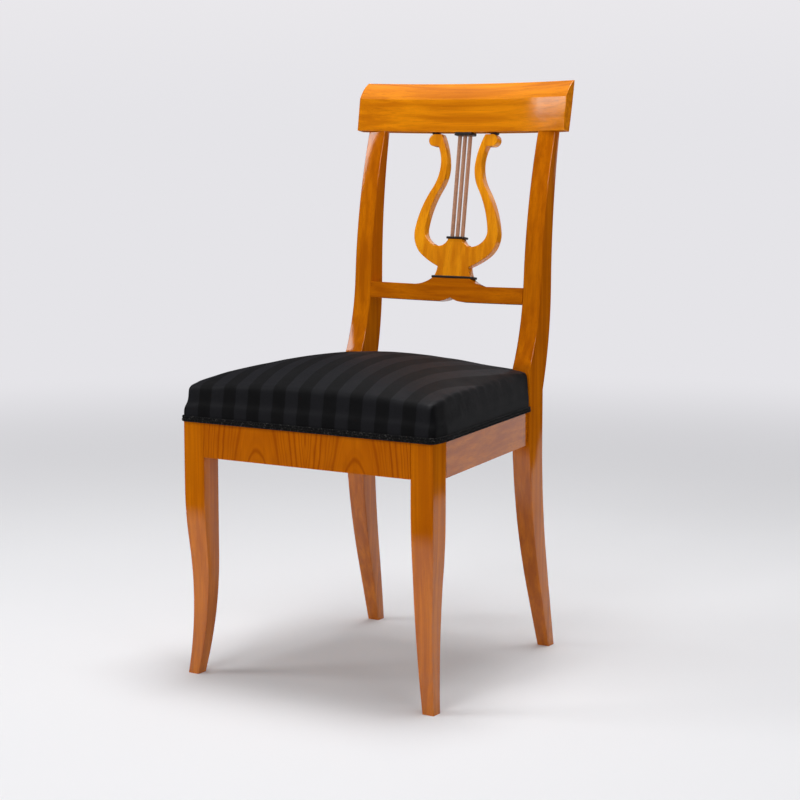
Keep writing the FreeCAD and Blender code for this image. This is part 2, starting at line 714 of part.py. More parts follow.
def side_rail(side, label):
    body = new_body(label)
    start, end = s.leg_depth, s.post_front
    pad(body, "XY", s.rail_bottom, rail_top, [mirrored([
        (side_face(start, s.rail_thickness), back(start)), (side_face(start, 0), back(start)),
        (side_face(end, 0), back(end)), (side_face(end, s.rail_thickness), back(end))], side)])
    pad(body, "XY", tenon_low, tenon_high,
        [mirrored(side_tenon(start - s.side_tenon_length, end + s.side_tenon_length, 0), side)])
    return body


# Corner blocks, each held by two screws
block_high = rail_top - s.block_drop
block_low = block_high - s.block_height
screw_height = (block_high + block_low) / 2


def block_plan(corner):
    """Plan of a right-hand corner block; it is cut round the leg that it braces."""
    if corner == "front":
        side_end = s.leg_depth + s.block_reach
        return [(leg_inner - s.block_reach, front_rail_back),
                (side_face(side_end, s.rail_thickness), back(side_end)),
                (side_face(s.leg_depth, s.rail_thickness), leg_rear),
                (leg_inner, leg_rear), (leg_inner, front_rail_back)]
    side_end = s.post_front - s.block_reach
    return [(post_inner - s.block_reach, back_rail_front),
            (side_face(side_end, s.rail_thickness), back(side_end)),
            (side_face(s.post_front, s.rail_thickness), post_face),
            (post_inner, post_face), (post_inner, back_rail_front)]


def screw_places(corner):
    """The two screws of a right-hand block: axis, fixed place, head seat and direction."""
    if corner == "front":
        into_rail = ("Y", leg_inner - s.block_reach * 0.45, front_rail_back + s.screw_seat, -1)
        depth = s.leg_depth + s.block_reach * 0.5
    else:
        into_rail = ("Y", post_inner - s.block_reach * 0.42, back_rail_front - s.screw_seat, 1)
        depth = s.post_front - s.block_reach * 0.5
    into_side = ("X", back(depth), side_face(depth, s.rail_thickness) - s.screw_seat, 1)
    return [into_rail, into_side]


def screw_bore(body, place, side, start, end, diameter):
    """Bore along a screw's own axis between two distances from its head seat."""
    axis, fixed, seat, direction = place
    low, high = sorted((seat + start * direction, seat + end * direction), key=value_of)
    if axis == "Y":
        bore(body, "XZ", low, high, [(fixed * side, screw_height)], diameter)
    else:
        bore(body, "YZ", *across_range(low, high, side), [(fixed, screw_height)], diameter)


def corner_block(corner, side, label):
    body = new_body(label)
    pad(body, "XY", block_low, block_high, [mirrored(block_plan(corner), side)])
    for place in screw_places(corner):
        screw_bore(body, place, side, -s.block_reach, s.block_reach,
                   s.screw_diameter + s.joint_play)
        screw_bore(body, place, side, -s.block_reach, s.block_reach * 0,
                   s.screw_head + s.joint_play * 2)
    return keep(body)


def screw_solid(place, side):
    """A round-headed wood screw standing on its seat."""
    axis, fixed, seat, direction = place
    radius = s.screw_diameter.value / 2
    head = s.screw_head.value / 2
    length = s.screw_seat.value + s.screw_bite.value
    tip = length - 3 * radius
    lift = s.screw_head_height.value
    crown = math.sqrt(0.5)
    dome = Part.Arc(Vector(0, 0, -lift), Vector(head * crown, 0, -lift * crown), Vector(head, 0, 0))
    outline = [Vector(head, 0, 0), Vector(radius, 0, 0), Vector(radius, 0, tip),
               Vector(0.3 * radius, 0, length), Vector(0, 0, length), Vector(0, 0, -lift)]
    lines = [Part.LineSegment(a, b).toShape() for a, b in zip(outline, outline[1:])]
    face = Part.Face(Part.Wire(lines + [dome.toShape()]))
    screw = face.revolve(Vector(0, 0, 0), Vector(0, 0, 1), 360)
    if axis == "Y":
        base = Vector(fixed.value * side, seat.value, screw_height.value)
        towards = Vector(0, direction, 0)
    else:
        base = Vector(seat.value * side, fixed.value, screw_height.value)
        towards = Vector(direction * side, 0, 0)
    screw.Placement = FreeCAD.Placement(base, FreeCAD.Rotation(Vector(0, 0, 1), towards))
    return screw


def build_seat_frame():
    front_rail = tenoned_rail("front_seat_rail", leg_inner, veneer_back, front_rail_back,
                              front_tenon_near)
    veneer = new_body("front_rail_veneer")
    pad(veneer, "XY", s.rail_bottom, rail_top,
        [rectangle(-leg_inner, back(0), leg_inner, veneer_back)])
    back_rail = tenoned_rail("back_seat_rail", post_inner, back_rail_front, back_rail_rear,
                             back_tenon_near)
    rails = {"front": front_rail, "back": back_rail}
    side_rails = {side: side_rail(side, f"{name}_seat_rail") for side, name in SIDES}
    screws = []
    for corner in ("front", "back"):
        for side, name in SIDES:
            corner_block(corner, side, f"{corner}_{name}_corner_block")
            into_rail, into_side = screw_places(corner)
            reach = s.screw_seat + s.screw_bite + s.end_play
            diameter = s.screw_diameter + s.joint_play
            screw_bore(rails[corner], into_rail, side, s.screw_seat * 0.9, reach, diameter)
            screw_bore(side_rails[side], into_side, side, s.screw_seat * 0.9, reach, diameter)
            screws += [screw_solid(into_rail, side), screw_solid(into_side, side)]
    for rail in (front_rail, veneer, back_rail, *side_rails.values()):
        keep(rail)
    group = doc.addObject("Part::Feature", "corner_block_screws")
    group.Label = "corner_block_screws"
    group.Shape = Part.makeCompound(screws)
    group.Placement = FreeCAD.Placement()
    keep(group)


# Middle rail and crest rail: bent in plan, in the leaning frame of the lyre
def bow_radius(half_length, bow):
    return (half_length * half_length + bow * bow) / (bow * 2)


def bent_rail(label, section, radius, half_length):
    """A rail whose section is swung about an upright axis in front of it."""
    body = lean_body(label)
    sketch = new_sketch(body, "YZ", s.front_width * 0)
    add_outline(sketch, section)
    axis = sketch.addGeometry(Part.LineSegment(Vector(-radius.value, 0, 0),
                                               Vector(-radius.value, 100, 0)), True)
    fix_point(sketch, axis, 1, -radius, 0)
    fix_point(sketch, axis, 2, -radius, 100)
    revolution = body.newObject("PartDesign::Revolution", f"{label}_bend")
    revolution.Profile = sketch
    revolution.ReferenceAxis = (sketch, ["Axis0"])
    revolution.Midplane = True
    swing = half_length / radius * (360 / math.pi) * 1.3
    revolution.Angle = swing.value
    bind(revolution, "Angle", swing)
    doc.recompute()
    return body


def build_middle_rail():
    radius = bow_radius(post_inner, s.middle_rail_bow)
    body = bent_rail("middle_rail",
                     rectangle(s.front_width * 0, middle_bottom, s.middle_rail_thickness,
                               s.front_width * 0), radius, post_inner)
    half = [(s.plinth_half_width, 0,
             (s.plinth_half_width + s.plinth_cove_end) / 2 - s.plinth_rise * 0.3,
             middle_top + s.plinth_rise * 0.3),
            (s.plinth_cove_end, middle_top), (post_inner, middle_top), (post_inner, middle_bottom)]
    notch_via = s.notch_half_width / 2
    mirror_half = [(-s.plinth_cove_end, middle_top,
                    (s.plinth_half_width + s.plinth_cove_end) / -2 + s.plinth_rise * 0.3,
                    middle_top + s.plinth_rise * 0.3),
                   (-s.plinth_half_width, 0)]
    trim(body, "XZ", half + [
        (s.notch_half_width, middle_bottom, notch_via, middle_bottom + s.notch_height * 0.3),
        (0, middle_bottom + s.notch_height, -notch_via, middle_bottom + s.notch_height * 0.3),
        (-s.notch_half_width, middle_bottom), (-post_inner, middle_bottom),
        (-post_inner, middle_top)] + mirror_half)
    far = middle_tenon_front + s.middle_tenon_thickness
    tenon = rectangle(middle_tenon_front, middle_bottom + s.middle_tenon_shoulder, far,
                      middle_top - s.middle_tenon_shoulder)
    for side, _ in SIDES:
        pad(body, "YZ", *across_range(post_inner - s.middle_tenon_shoulder,
                                      post_inner + s.middle_tenon_length, side), [tenon])
    pocket(body, "XY", -s.foot_tenon_depth - s.end_play, s.end_play, [foot_tenon_plan(s.joint_play)])
    keep(body)


lyre_front = s.lyre_set_back
lyre_rear = s.lyre_set_back + s.lyre_thickness
lyre_middle = s.lyre_set_back + s.lyre_thickness / 2
scroll_top = s.crest_bottom - s.pad_height
string_top = s.crest_bottom - s.top_cap_height
string_bottom = s.bridge_height + s.bridge_cap_height


def foot_tenon_plan(play):
    half = s.foot_tenon_thickness / 2 + play
    wide = s.foot_tenon_half_width + play
    return rectangle(-wide, lyre_middle - half, wide, lyre_middle + half)


def string_centres():
    return [(s.string_pitch * step, lyre_middle) for step in (-1, 0, 1)]


def dowel_centres():
    return [(s.scroll_across * side, lyre_middle) for side, _ in SIDES]


def build_crest_rail():
    radius = bow_radius(s.crest_half_length, s.crest_bow)
    bottom = s.crest_bottom
    top = bottom + s.crest_height
    zero = s.front_width * 0
    roll_low = (zero, bottom + s.crest_roll_start)
    roll_high = (s.crest_top_back, top)
    roll = between(roll_low, roll_high, 0.5)
    rear_low = (s.crest_thickness, bottom)
    rear = between(roll_high, rear_low, 0.5)
    section = [(zero, bottom), rear_low + (rear[0] + s.crest_hollow, rear[1]),
               (*roll_high, roll[0] - s.crest_roll_swell * 0.77, roll[1] + s.crest_roll_swell * 0.64),
               roll_low]
    body = bent_rail("crest_rail", section, radius, s.crest_half_length)
    trim(body, "XZ", rectangle(-s.crest_half_length, bottom - s.end_play, s.crest_half_length,
                               top + s.end_play))
    round_edges(body, s.fine_arris, lambda edge: edge.Length > s.crest_thickness.value / 2)
    play = s.joint_play
    for side, _ in SIDES:
        pocket(body, "XY", bottom - s.end_play, bottom + s.post_tenon_length + s.end_play,
               [mirrored(rectangle(post_tenon_inner - play, tenon_front - play,
                                   post_tenon_outer + play,
                                   tenon_front + s.post_tenon_thickness + play), side)])
    bore(body, "XY", bottom - s.end_play, bottom + s.string_pin_length + s.end_play,
         string_centres(), s.string_pin_diameter + play)
    bore(body, "XY", bottom - s.end_play, bottom + s.dowel_depth + s.end_play,
         dowel_centres(), s.dowel_diameter + play)
    keep(body)


# The lyre, fretted out of one board
def lyre_half():
    """The right half of the lyre's outline, from its foot up round the arm to the bridge."""
    scroll_bottom = scroll_top - s.scroll_radius * 2
    return [
        (s.lyre_foot_half_width, s.foot_cap_height,
         (s.lyre_foot_half_width + s.lyre_neck_half_width) / 2 - s.fine_arris * 0.6,
         (s.foot_cap_height + s.lyre_neck_height) / 2),
        (s.lyre_neck_half_width, s.lyre_neck_height, BEFORE),
        (s.bowl_low_across, s.bowl_low_height, BEFORE),
        (s.bowl_half_width, s.bowl_height, s.arm_via_across, s.arm_via_height),
        (s.arm_turn_across, s.arm_turn_height, AFTER),
        (s.waist_across, s.waist_height, AFTER),
        (s.scroll_corner_across, scroll_bottom),
        (s.scroll_across, scroll_bottom, s.scroll_across + s.scroll_radius,
         scroll_bottom + s.scroll_radius),
        (s.scroll_across, scroll_top),
        (s.inner_top_across, scroll_top, BEFORE),
        (s.inner_waist_across, s.inner_waist_height, BEFORE),
        (s.inner_turn_across, s.inner_turn_height, s.inner_via_across, s.inner_via_height),
        (s.inner_wide_across, s.inner_wide_height, AFTER),
        (s.inner_bend_across, s.inner_bend_height, AFTER),
        (s.inner_low_across, s.inner_low_height, AFTER),
        (s.bridge_half_width, s.bridge_height)]


def mirror_chain(half):
    """The left half of an outline, run back to front, from its right half."""
    count = len(half)
    chain = []
    for index in range(count - 1, -1, -1):
        x, y = half[index][0], half[index][1]
        arc = half[index - 1][2:] if index > 0 else ()
        if len(arc) == 2:
            chain.append((-x, y, -arc[0], arc[1]))
        elif arc:
            chain.append((-x, y, BEFORE if arc[0] == AFTER else AFTER))
        else:
            chain.append((-x, y))
    return chain


def build_lyre():
    body = lean_body("lyre")
    half = lyre_half()
    pad(body, "XZ", lyre_front, lyre_rear, [half + mirror_chain(half)])
    corners = (s.lyre_neck_half_width.value, s.scroll_corner_across.value)
    round_edges(body, s.fine_arris * 1.5, lambda edge: edge.BoundBox.XLength < 0.1
                and min(abs(abs(middle_of(edge).x) - corner) for corner in corners) < 0.1)
    ease_edges(body, s.fine_arris * 0.8, lambda edge: edge.Length > s.fine_arris.value
                and abs(edge.BoundBox.YLength) < s.lyre_thickness.value * 0.9
                and middle_of(edge).z > plinth_height.value + s.foot_cap_height.value)
    pad(body, "XY", -s.foot_tenon_depth, s.foot_cap_height, [foot_tenon_plan(0)])
    bore(body, "XY", s.bridge_height - s.string_pin_length - s.end_play,
         s.bridge_height + s.end_play, string_centres(), s.string_pin_diameter + s.joint_play)
    bore(body, "XY", scroll_top - s.dowel_depth - s.end_play, scroll_top + s.end_play,
         dowel_centres(), s.dowel_diameter + s.joint_play)
    keep(body)


def black_plate(label, half_width, overhang, low, high, centre=None):
    """A thin ebonised plate with rounded corners and edges."""
    body = lean_body(label)
    plan = rounded_rectangle(half_width, lyre_front - overhang, lyre_rear + overhang, s.cap_corner)
    if centre is not None:
        plan = [tuple(value + centre if place % 2 == 0 else value
                      for place, value in enumerate(corner)) for corner in plan]
    pad(body, "XY", low, high, [plan])
    round_edges(body, s.cap_round, lambda edge: edge.BoundBox.ZLength < (high - low).value * 0.9
                or abs(direction_of(edge).z) < 0.5)
    return body


def build_caps():
    play = s.joint_play
    foot_cap = black_plate("lyre_foot_cap", s.foot_cap_half_width, s.foot_cap_overhang,
                           s.front_width * 0, s.foot_cap_height)
    pocket(foot_cap, "XY", -s.end_play, s.foot_cap_height + s.end_play, [foot_tenon_plan(play)])
    bridge_cap = black_plate("string_bottom_cap", s.string_cap_half_width, s.string_cap_overhang,
                             s.bridge_height, string_bottom)
    top_cap = black_plate("string_top_cap", s.string_cap_half_width, s.string_cap_overhang,
                          string_top, s.crest_bottom)
    for cap, low, high in ((bridge_cap, s.bridge_height, string_bottom),
                           (top_cap, string_top, s.crest_bottom)):
        bore(cap, "XY", low - s.end_play, high + s.end_play, string_centres(),
             s.string_pin_diameter + play)
    for cap in (foot_cap, bridge_cap, top_cap):
        keep(cap)
    for side, name in SIDES:
        scroll_pad = black_plate(f"{name}_scroll_pad", s.pad_half_width, -s.pad_set_back,
                                 scroll_top, s.crest_bottom, s.scroll_across * side)
        bore(scroll_pad, "XY", scroll_top - s.end_play, s.crest_bottom + s.end_play,
             [(s.scroll_across * side, lyre_middle)], s.dowel_diameter + play)
        keep(scroll_pad)


def turned_rod(label, across, rings):
    """A rod turned from rings (low, high, diameter) along the lean."""
    body = lean_body(label)
    for low, high, diameter in rings:
        sketch = new_sketch(body, "XY", low)
        add_circle(sketch, across, lyre_middle, diameter)
        doc.recompute()
        extrude(body, "PartDesign::Pad", sketch, high - low)
    return keep(body)


def build_rods():
    for step, name in ((-1, "left"), (0, "middle"), (1, "right")):
        turned_rod(f"{name}_lyre_string", s.string_pitch * step, [
            (string_bottom, string_top, s.string_diameter),
            (s.bridge_height - s.string_pin_length, string_bottom, s.string_pin_diameter),
            (string_top, s.crest_bottom + s.string_pin_length, s.string_pin_diameter)])
    for side, name in SIDES:
        turned_rod(f"{name}_scroll_dowel", s.scroll_across * side, [
            (scroll_top - s.dowel_depth, s.crest_bottom + s.dowel_depth, s.dowel_diameter)])


# Webbing: straps that pass over and under each other on top of the rails
def strap_profile(starts, ends, crossings, over_first):
    """A strap seen from its side: low on the rails, then over and under at the crossings."""
    low = rail_top
    high = rail_top + s.strap_thickness + s.strap_gap
    half = s.strap_width / 2 + s.strap_thickness * 2
    line = [(starts, low)]
    for index, crossing in enumerate(crossings):
        level = high if (index % 2 == 0) == over_first else low
        line += [(crossing - half, level), (crossing + half, level)]
    line.append((ends, low))
    upper = [(place, level + s.strap_thickness) for place, level in reversed(line)]
    return line + upper


def crosswise_half(depth):
    """Half the length of a crosswise strap that is centred at a depth."""
    return side_face(depth, s.rail_thickness) + s.strap_hold * 0.8


def build_webbing():
    count = int(s.strap_count.value)
    columns = [s.strap_pitch_across * (index - (count - 1) / 2) for index in range(count)]
    rows = [s.strap_first_back + s.strap_pitch_back * index for index in range(count)]
    for index, column in enumerate(columns):
        body = new_body(f"lengthwise_strap_{index + 1}")
        profile = strap_profile(front_rail_back - s.strap_hold, back_rail_front + s.strap_hold,
                                [back(row) for row in rows], index % 2 == 0)
        pad(body, "YZ", column - s.strap_width / 2, column + s.strap_width / 2, [profile])
        keep(body)
    for index, row in enumerate(rows):
        body = new_body(f"crosswise_strap_{index + 1}")
        half = crosswise_half(row)
        profile = strap_profile(-half, half, columns, index % 2 == 1)
        pad(body, "XZ", back(row) - s.strap_width / 2, back(row) + s.strap_width / 2, [profile])
        keep(body)


# Seat: sacking, stuffing and cover, domed and drawn in towards the top
hessian_low = rail_top + s.strap_thickness * 2 + s.strap_gap * 2
stuffing_low = hessian_low + s.hessian_thickness + s.cover_play
seat_back = s.post_front + s.post_depth - s.back_rail_inset + s.cover_back


def cover_half_width(depth):
    """Half the cover's width at a depth behind the front face."""
    full = half_front + s.cover_proud
    at_posts = side_outer_back + s.cover_proud_side
    return full - (full - at_posts) * (depth - s.leg_depth) / side_run


def dome_sections(inset):
    """What lies above the seat, as sections from front to back."""
    margin = s.strap_gap
    stations = [
        (-s.dome_overrun, s.side_rise_front, s.crown_front),
        (s.middle_of_seat / 2 - s.dome_overrun / 2, s.side_rise_legs, s.crown_legs),
        (s.middle_of_seat, s.side_rise_middle, s.crown_middle),
        ((s.middle_of_seat + seat_back) / 2, s.side_rise_posts, s.crown_posts),
        (seat_back + s.dome_overrun, s.side_rise_back, s.crown_back)]
    sections = []
    for depth, side_rise, crown in stations:
        wide = cover_half_width(depth) + margin
        edge = draw_in_start + side_rise - inset
        sections.append((back(depth), [
            (wide, edge, s.front_width * 0, edge + crown), (-wide, edge),
            (-wide, plinth_height), (wide, plinth_height)]))
    return sections


def seat_form(label, inset, low):
    """The seat's form: upright below, drawn in above, domed on top, with rounded edges."""
    body = new_body(label)
    front = back(inset - s.cover_proud)
    front_half = half_front + s.cover_proud - inset
    rear_half = cover_half_width(seat_back) - inset
    rear = back(seat_back - inset)
    plan = [(-front_half, front), (front_half, front), (front_half, leg_rear),
            (rear_half, rear), (-rear_half, rear), (-front_half, leg_rear)]
    pad(body, "XY", low, draw_in_start, [plan])
    upper = pad(body, "XY", draw_in_start, plinth_height, [plan])
    upper.TaperAngle = -s.draw_in_angle.value
    bind(upper, "TaperAngle", -s.draw_in_angle)
    sketches = []
    for place, outline in dome_sections(inset):
        sketch = new_sketch(body, "XZ", place)
        add_outline(sketch, outline)
        sketches.append(sketch)
    doc.recompute()
    dome = body.newObject("PartDesign::SubtractiveLoft", f"{label}_dome")
    dome.Profile = sketches[0]
    dome.Sections = sketches[1:]
    doc.recompute()
    round_edges(body, s.corner_radius - inset, lambda edge: middle_of(edge).y < leg_rear.value / 2
                + front.value / 2 and abs(direction_of(edge).z) > 0.9)
    round_edges(body, s.roll_radius - inset, lambda edge: edge.BoundBox.ZMin > draw_in_start.value
                + 1 and abs(direction_of(edge).z) < 0.7)
    return body


def post_notches(play):
    """Plans of the two notches that the posts need in what lies on the seat frame."""
    reach = s.post_depth * 2
    return [mirrored(rectangle(post_inner - play, post_face - play, half_front,
                               post_face + reach), side) for side, _ in SIDES]


def build_seat():
    hessian = new_body("seat_hessian")
    inset = s.hessian_inset
    rear = back_rail_rear - inset
    rear_depth = s.post_front + s.post_depth - s.back_rail_inset - inset
    front_half = half_front - inset
    pad(hessian, "XY", hessian_low, hessian_low + s.hessian_thickness, [[
        (-front_half, back(inset)), (front_half, back(inset)), (front_half, leg_rear),
        (side_face(rear_depth, inset), rear), (-side_face(rear_depth, inset), rear),
        (-front_half, leg_rear)]])
    pocket(hessian, "XY", hessian_low - s.end_play, hessian_low + s.hessian_thickness + s.end_play,
           post_notches(s.cover_play))
    keep(hessian)

    stuffing = seat_form("seat_stuffing", s.cover_thickness + s.cover_play, stuffing_low)
    pocket(stuffing, "XY", stuffing_low - s.end_play, post_sill + s.crown_middle,
           post_notches(s.cover_thickness))
    keep(stuffing)

    outside = seat_form("seat_outside", s.front_width * 0, cover_bottom)
    inside = seat_form("seat_inside", s.cover_thickness, cover_bottom - s.end_play)
    shell = doc.addObject("Part::Cut", "seat_shell")
    shell.Base = outside
    shell.Tool = inside
    notches = new_body("seat_notches")
    pad(notches, "XY", cover_bottom - s.end_play, post_sill + s.crown_middle,
        post_notches(s.cover_play))
    doc.recompute()
    cover = doc.addObject("Part::Cut", "seat_cover")
    cover.Label = "seat_cover"
    cover.Base = shell
    cover.Tool = notches
    doc.recompute()
    keep(cover)


# Braid over the lower edge of the cover
def build_gimp():
    gimp_bottom = cover_bottom - s.gimp_drop
    high = gimp_bottom + s.gimp_height
    clear = s.cover_play / 3
    near = back(-s.cover_proud - clear)
    radius = s.gimp_corner
    depth = s.gimp_thickness
    end_depth = s.post_front - s.cover_play
    legs_half = half_front + s.cover_proud + clear
    end_half = cover_half_width(end_depth) + clear
    end_place = back(end_depth)
    quarter = 1 - math.sqrt(0.5)
    outer_front = near - depth
    outer_half = legs_half + depth
    inner_radius = radius - depth
    right = [
        (outer_half - radius, outer_front, outer_half - radius * quarter,
         outer_front + radius * quarter),
        (outer_half, outer_front + radius), (outer_half, leg_rear),
        (end_half + depth, end_place), (end_half, end_place), (legs_half, leg_rear),
        (legs_half, near + inner_radius, legs_half - inner_radius * quarter,
         near + inner_radius * quarter),
        (legs_half - inner_radius, near)]
    body = new_body("gimp_braid")
    pad(body, "XY", gimp_bottom, high, [right + mirror_chain(right)])
    keep(body)
    back_braid = new_body("back_gimp_braid")
    rear = back(seat_back + clear)
    half = post_inner - s.cover_play
    pad(back_braid, "XY", gimp_bottom, high, [rectangle(-half, rear, half, rear + depth)])
    keep(back_braid)


def check_and_write():
    """Refuse to write anything if an object failed or a piece has no valid shape."""
    doc.recompute()
    for item in doc.Objects:
        if {"Invalid", "Error"} & set(item.State):
            raise ValueError(f"{item.Label} failed: {item.State}")
    for piece in parts:
        if piece.Shape.isNull() or not piece.Shape.isValid() or not piece.Shape.Solids:
            raise ValueError(f"{piece.Label} has no valid shape")
    os.makedirs("parts", exist_ok=True)
    for piece in parts:
        piece.Shape.exportStep(f"parts/{piece.Label}.step")
    whole = Part.makeCompound([piece.Shape for piece in parts]).BoundBox
    print(f"{len(parts)} pieces")
    print(f"X {whole.XMin:.2f} to {whole.XMax:.2f}, Y {whole.YMin:.2f} to {whole.YMax:.2f},"
          f" Z {whole.ZMin:.2f} to {whole.ZMax:.2f}")


SIDES = ((-1, "left"), (1, "right"))

for side, name in SIDES:
    front_leg(side, f"{name}_front_leg")
    back_leg(side, f"{name}_back_leg")
build_seat_frame()
build_middle_rail()
build_crest_rail()
build_lyre()
build_caps()
build_rods()
build_webbing()
build_seat()
build_gimp()
check_and_write()
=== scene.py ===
"""The looks of a lyre back chair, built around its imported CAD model.

Every wooden piece keeps its CAD shape and gets French polished cherry, the cover is a
simulated cloth over the seat's form, and the braid, sacking and webbing are made here.
"""

import math

import bmesh
import bpy
from bpy.props import FloatProperty, FloatVectorProperty, PointerProperty
from mathutils import Matrix, Vector, noise
from mathutils.bvhtree import BVHTree


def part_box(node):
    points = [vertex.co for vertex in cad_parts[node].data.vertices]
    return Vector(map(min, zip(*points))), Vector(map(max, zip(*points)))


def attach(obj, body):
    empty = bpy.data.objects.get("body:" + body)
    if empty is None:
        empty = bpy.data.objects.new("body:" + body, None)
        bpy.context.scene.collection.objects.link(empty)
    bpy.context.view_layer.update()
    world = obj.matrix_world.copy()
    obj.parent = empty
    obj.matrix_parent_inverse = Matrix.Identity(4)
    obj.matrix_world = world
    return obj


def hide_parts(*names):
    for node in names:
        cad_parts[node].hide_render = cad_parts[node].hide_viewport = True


bl_info = {
    "name": "Lyre back chair",
    "version": (1, 0, 0),
    "blender": (4, 5, 0),
    "location": "View3D > Sidebar > Chair",
    "description": "Builds the looks of a lyre back chair around its CAD model",
    "category": "Object",
}

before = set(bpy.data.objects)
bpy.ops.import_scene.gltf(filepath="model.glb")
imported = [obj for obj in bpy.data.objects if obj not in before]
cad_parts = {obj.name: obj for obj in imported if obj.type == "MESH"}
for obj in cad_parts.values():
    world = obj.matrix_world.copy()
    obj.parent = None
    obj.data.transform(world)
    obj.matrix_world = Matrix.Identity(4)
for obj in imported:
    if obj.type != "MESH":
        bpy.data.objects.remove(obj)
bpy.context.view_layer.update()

LEGS = ("left_front_leg", "right_front_leg", "left_back_leg", "right_back_leg")
SIDE_RAILS = ("left_seat_rail", "right_seat_rail")
CAPS = (
    "lyre_foot_cap",
    "string_bottom_cap",
    "string_top_cap",
    "left_scroll_pad",
    "right_scroll_pad",
)
STRINGS = ("left_lyre_string", "middle_lyre_string", "right_lyre_string")
BEECH = (
    "front_seat_rail",
    "front_left_corner_block",
    "front_right_corner_block",
    "back_left_corner_block",
    "back_right_corner_block",
    "left_scroll_dowel",
    "right_scroll_dowel",
)
STRAPS = tuple(
    f"{way}_strap_{number}"
    for way in ("lengthwise", "crosswise")
    for number in (1, 2, 3, 4)
)
X, Y, Z = 0, 1, 2

# Lengths in metres that place the cloth on the seat
HEM_STEP = 0.0005
HEM_DEPTH = 0.012
POST_GAP = 0.0004
SKIN_REACH = 0.006


def srgb(code):
    """Linear RGB of a colour written as an sRGB hex code."""
    parts = [int(code[i : i + 2], 16) / 255 for i in (1, 3, 5)]
    return tuple(
        p / 12.92 if p <= 0.04045 else ((p + 0.055) / 1.055) ** 2.4 for p in parts
    )


def colour(name, description, code):
    """A colour property whose default is an sRGB hex code."""
    return FloatVectorProperty(
        name=name,
        description=description,
        subtype="COLOR",
        size=3,
        min=0,
        max=1,
        default=srgb(code),
    )


def length(name, description, default, low, high):
    """A length property in metres."""
    return FloatProperty(
        name=name,
        description=description,
        default=default,
        min=low,
        max=high,
        unit="LENGTH",
        precision=5,
    )


class WoodLook(bpy.types.PropertyGroup):
    """Colours and grain of the wooden pieces"""

    cherry: colour("Cherry", "Colour of the polished frame", "#C66C02")
    crest: colour("Crest rail", "Colour of the crest rail's paler board", "#E2860A")
    lyre: colour("Lyre", "Colour of the lyre's paler board", "#F79A14")
    veneer: colour("Veneer", "Colour of the front rail's veneer", "#BE6404")
    rods: colour("Rods", "Colour of the three rods", "#BC8C70")
    ebony: colour("Ebonised plates", "Colour of the black plates", "#16110E")
    figure: length("Figure", "Width of the grain's broad bands", 0.011, 0.003, 0.04)
    gloss: FloatProperty(
        name="Polish roughness",
        description="Roughness of the French polish",
        default=0.06,
        min=0.01,
        max=0.6,
    )


class CoverLook(bpy.types.PropertyGroup):
    """Stripes and fullness of the seat's cover"""

    # the paler stripe colour is partly the satin's own tone and partly painted sheen
    light: colour("Light stripe", "Colour of the cover's paler stripes", "#19191C")
    dark: colour("Dark stripe", "Colour of the cover's darker stripes", "#09090A")
    period: length("Stripes", "From one stripe to the next alike", 0.046, 0.01, 0.12)
    slack: length("Slack", "How far the stuffing starts below its form", 0.0010, 0, 0.01)
    swell: length("Swell", "The most that the cloth may move", 0.0018, 0, 0.02)
    voxel: length("Cloth mesh", "Mesh size of the simulated cloth", 0.0045, 0.003, 0.01)


class BraidLook(bpy.types.PropertyGroup):
    """Colour and loops of the braid"""

    tone: colour("Braid", "Colour of the braid", "#060607")
    pitch: length("Loops", "From one loop of the braid to the next", 0.0046, 0.002, 0.01)
    loop: length("Loop radius", "Radius of one loop's middle line", 0.0019, 0.001, 0.004)
    cord: length("Cord radius", "Radius of the braid's cord", 0.00062, 0.0002, 0.001)


class StageLook(bpy.types.PropertyGroup):
    """Floor, backdrop and lights"""

    floor: colour("Floor", "Colour of the paper that the chair stands on", "#ECECEE")
    backdrop: colour("Backdrop", "Colour behind the chair", "#ECEAED")
    paper: length("Paper width", "Width of the paper roll", 2.24, 1, 12)
    distance: colour("Horizon", "Colour where the paper turns up", "#E5E4E8")
    key: FloatProperty(
        name="Key light",
        description="Power of the large soft light beside the camera",
        default=34,
        min=0,
        max=2000,
        unit="POWER",
    )


# Materials


def connect(tree, socket, value):
    """Links a socket to a node's result or to another socket, or sets its value."""
    if isinstance(value, bpy.types.Node):
        value = next(result for result in value.outputs if result.enabled)
    if isinstance(value, bpy.types.NodeSocket):
        tree.links.new(value, socket)
    else:
        socket.default_value = value


def add(tree, kind, inputs=(), **settings):
    """Adds one node. Its inputs are values, nodes or sockets, by name or in their order."""
    made = tree.nodes.new("ShaderNode" + kind)
    for name, value in settings.items():
        setattr(made, name, value)
    if isinstance(inputs, dict):
        sockets = [made.inputs[name] for name in inputs]
        inputs = inputs.values()
    else:
        sockets = [socket for socket in made.inputs if socket.enabled]
    for socket, value in zip(sockets, inputs):
        connect(tree, socket, value)
    return made


def rgba(tone, *shares):
    """A tone as RGBA, times one share or one each for red, green and blue."""
    if len(shares) < 3:
        shares = (shares or (1.0,)) * 3
    return (*(min(1.0, c * share) for c, share in zip(tone, shares)), 1.0)


def new_material(name, finish):
    """A material with one Principled shader, named for its finish."""
    made = bpy.data.materials.new(name)
    made.use_nodes = True
    made["finish"] = finish
    tree = made.node_tree
    tree.nodes.clear()
    shader = add(tree, "BsdfPrincipled")
    add(tree, "OutputMaterial", {"Surface": shader})
    return made, tree, shader


def feed(tree, shader, **inputs):
    """Sets or links the shader's inputs, named with _ for a space."""
    for name, value in inputs.items():
        connect(tree, shader.inputs[name.replace("_", " ")], value)


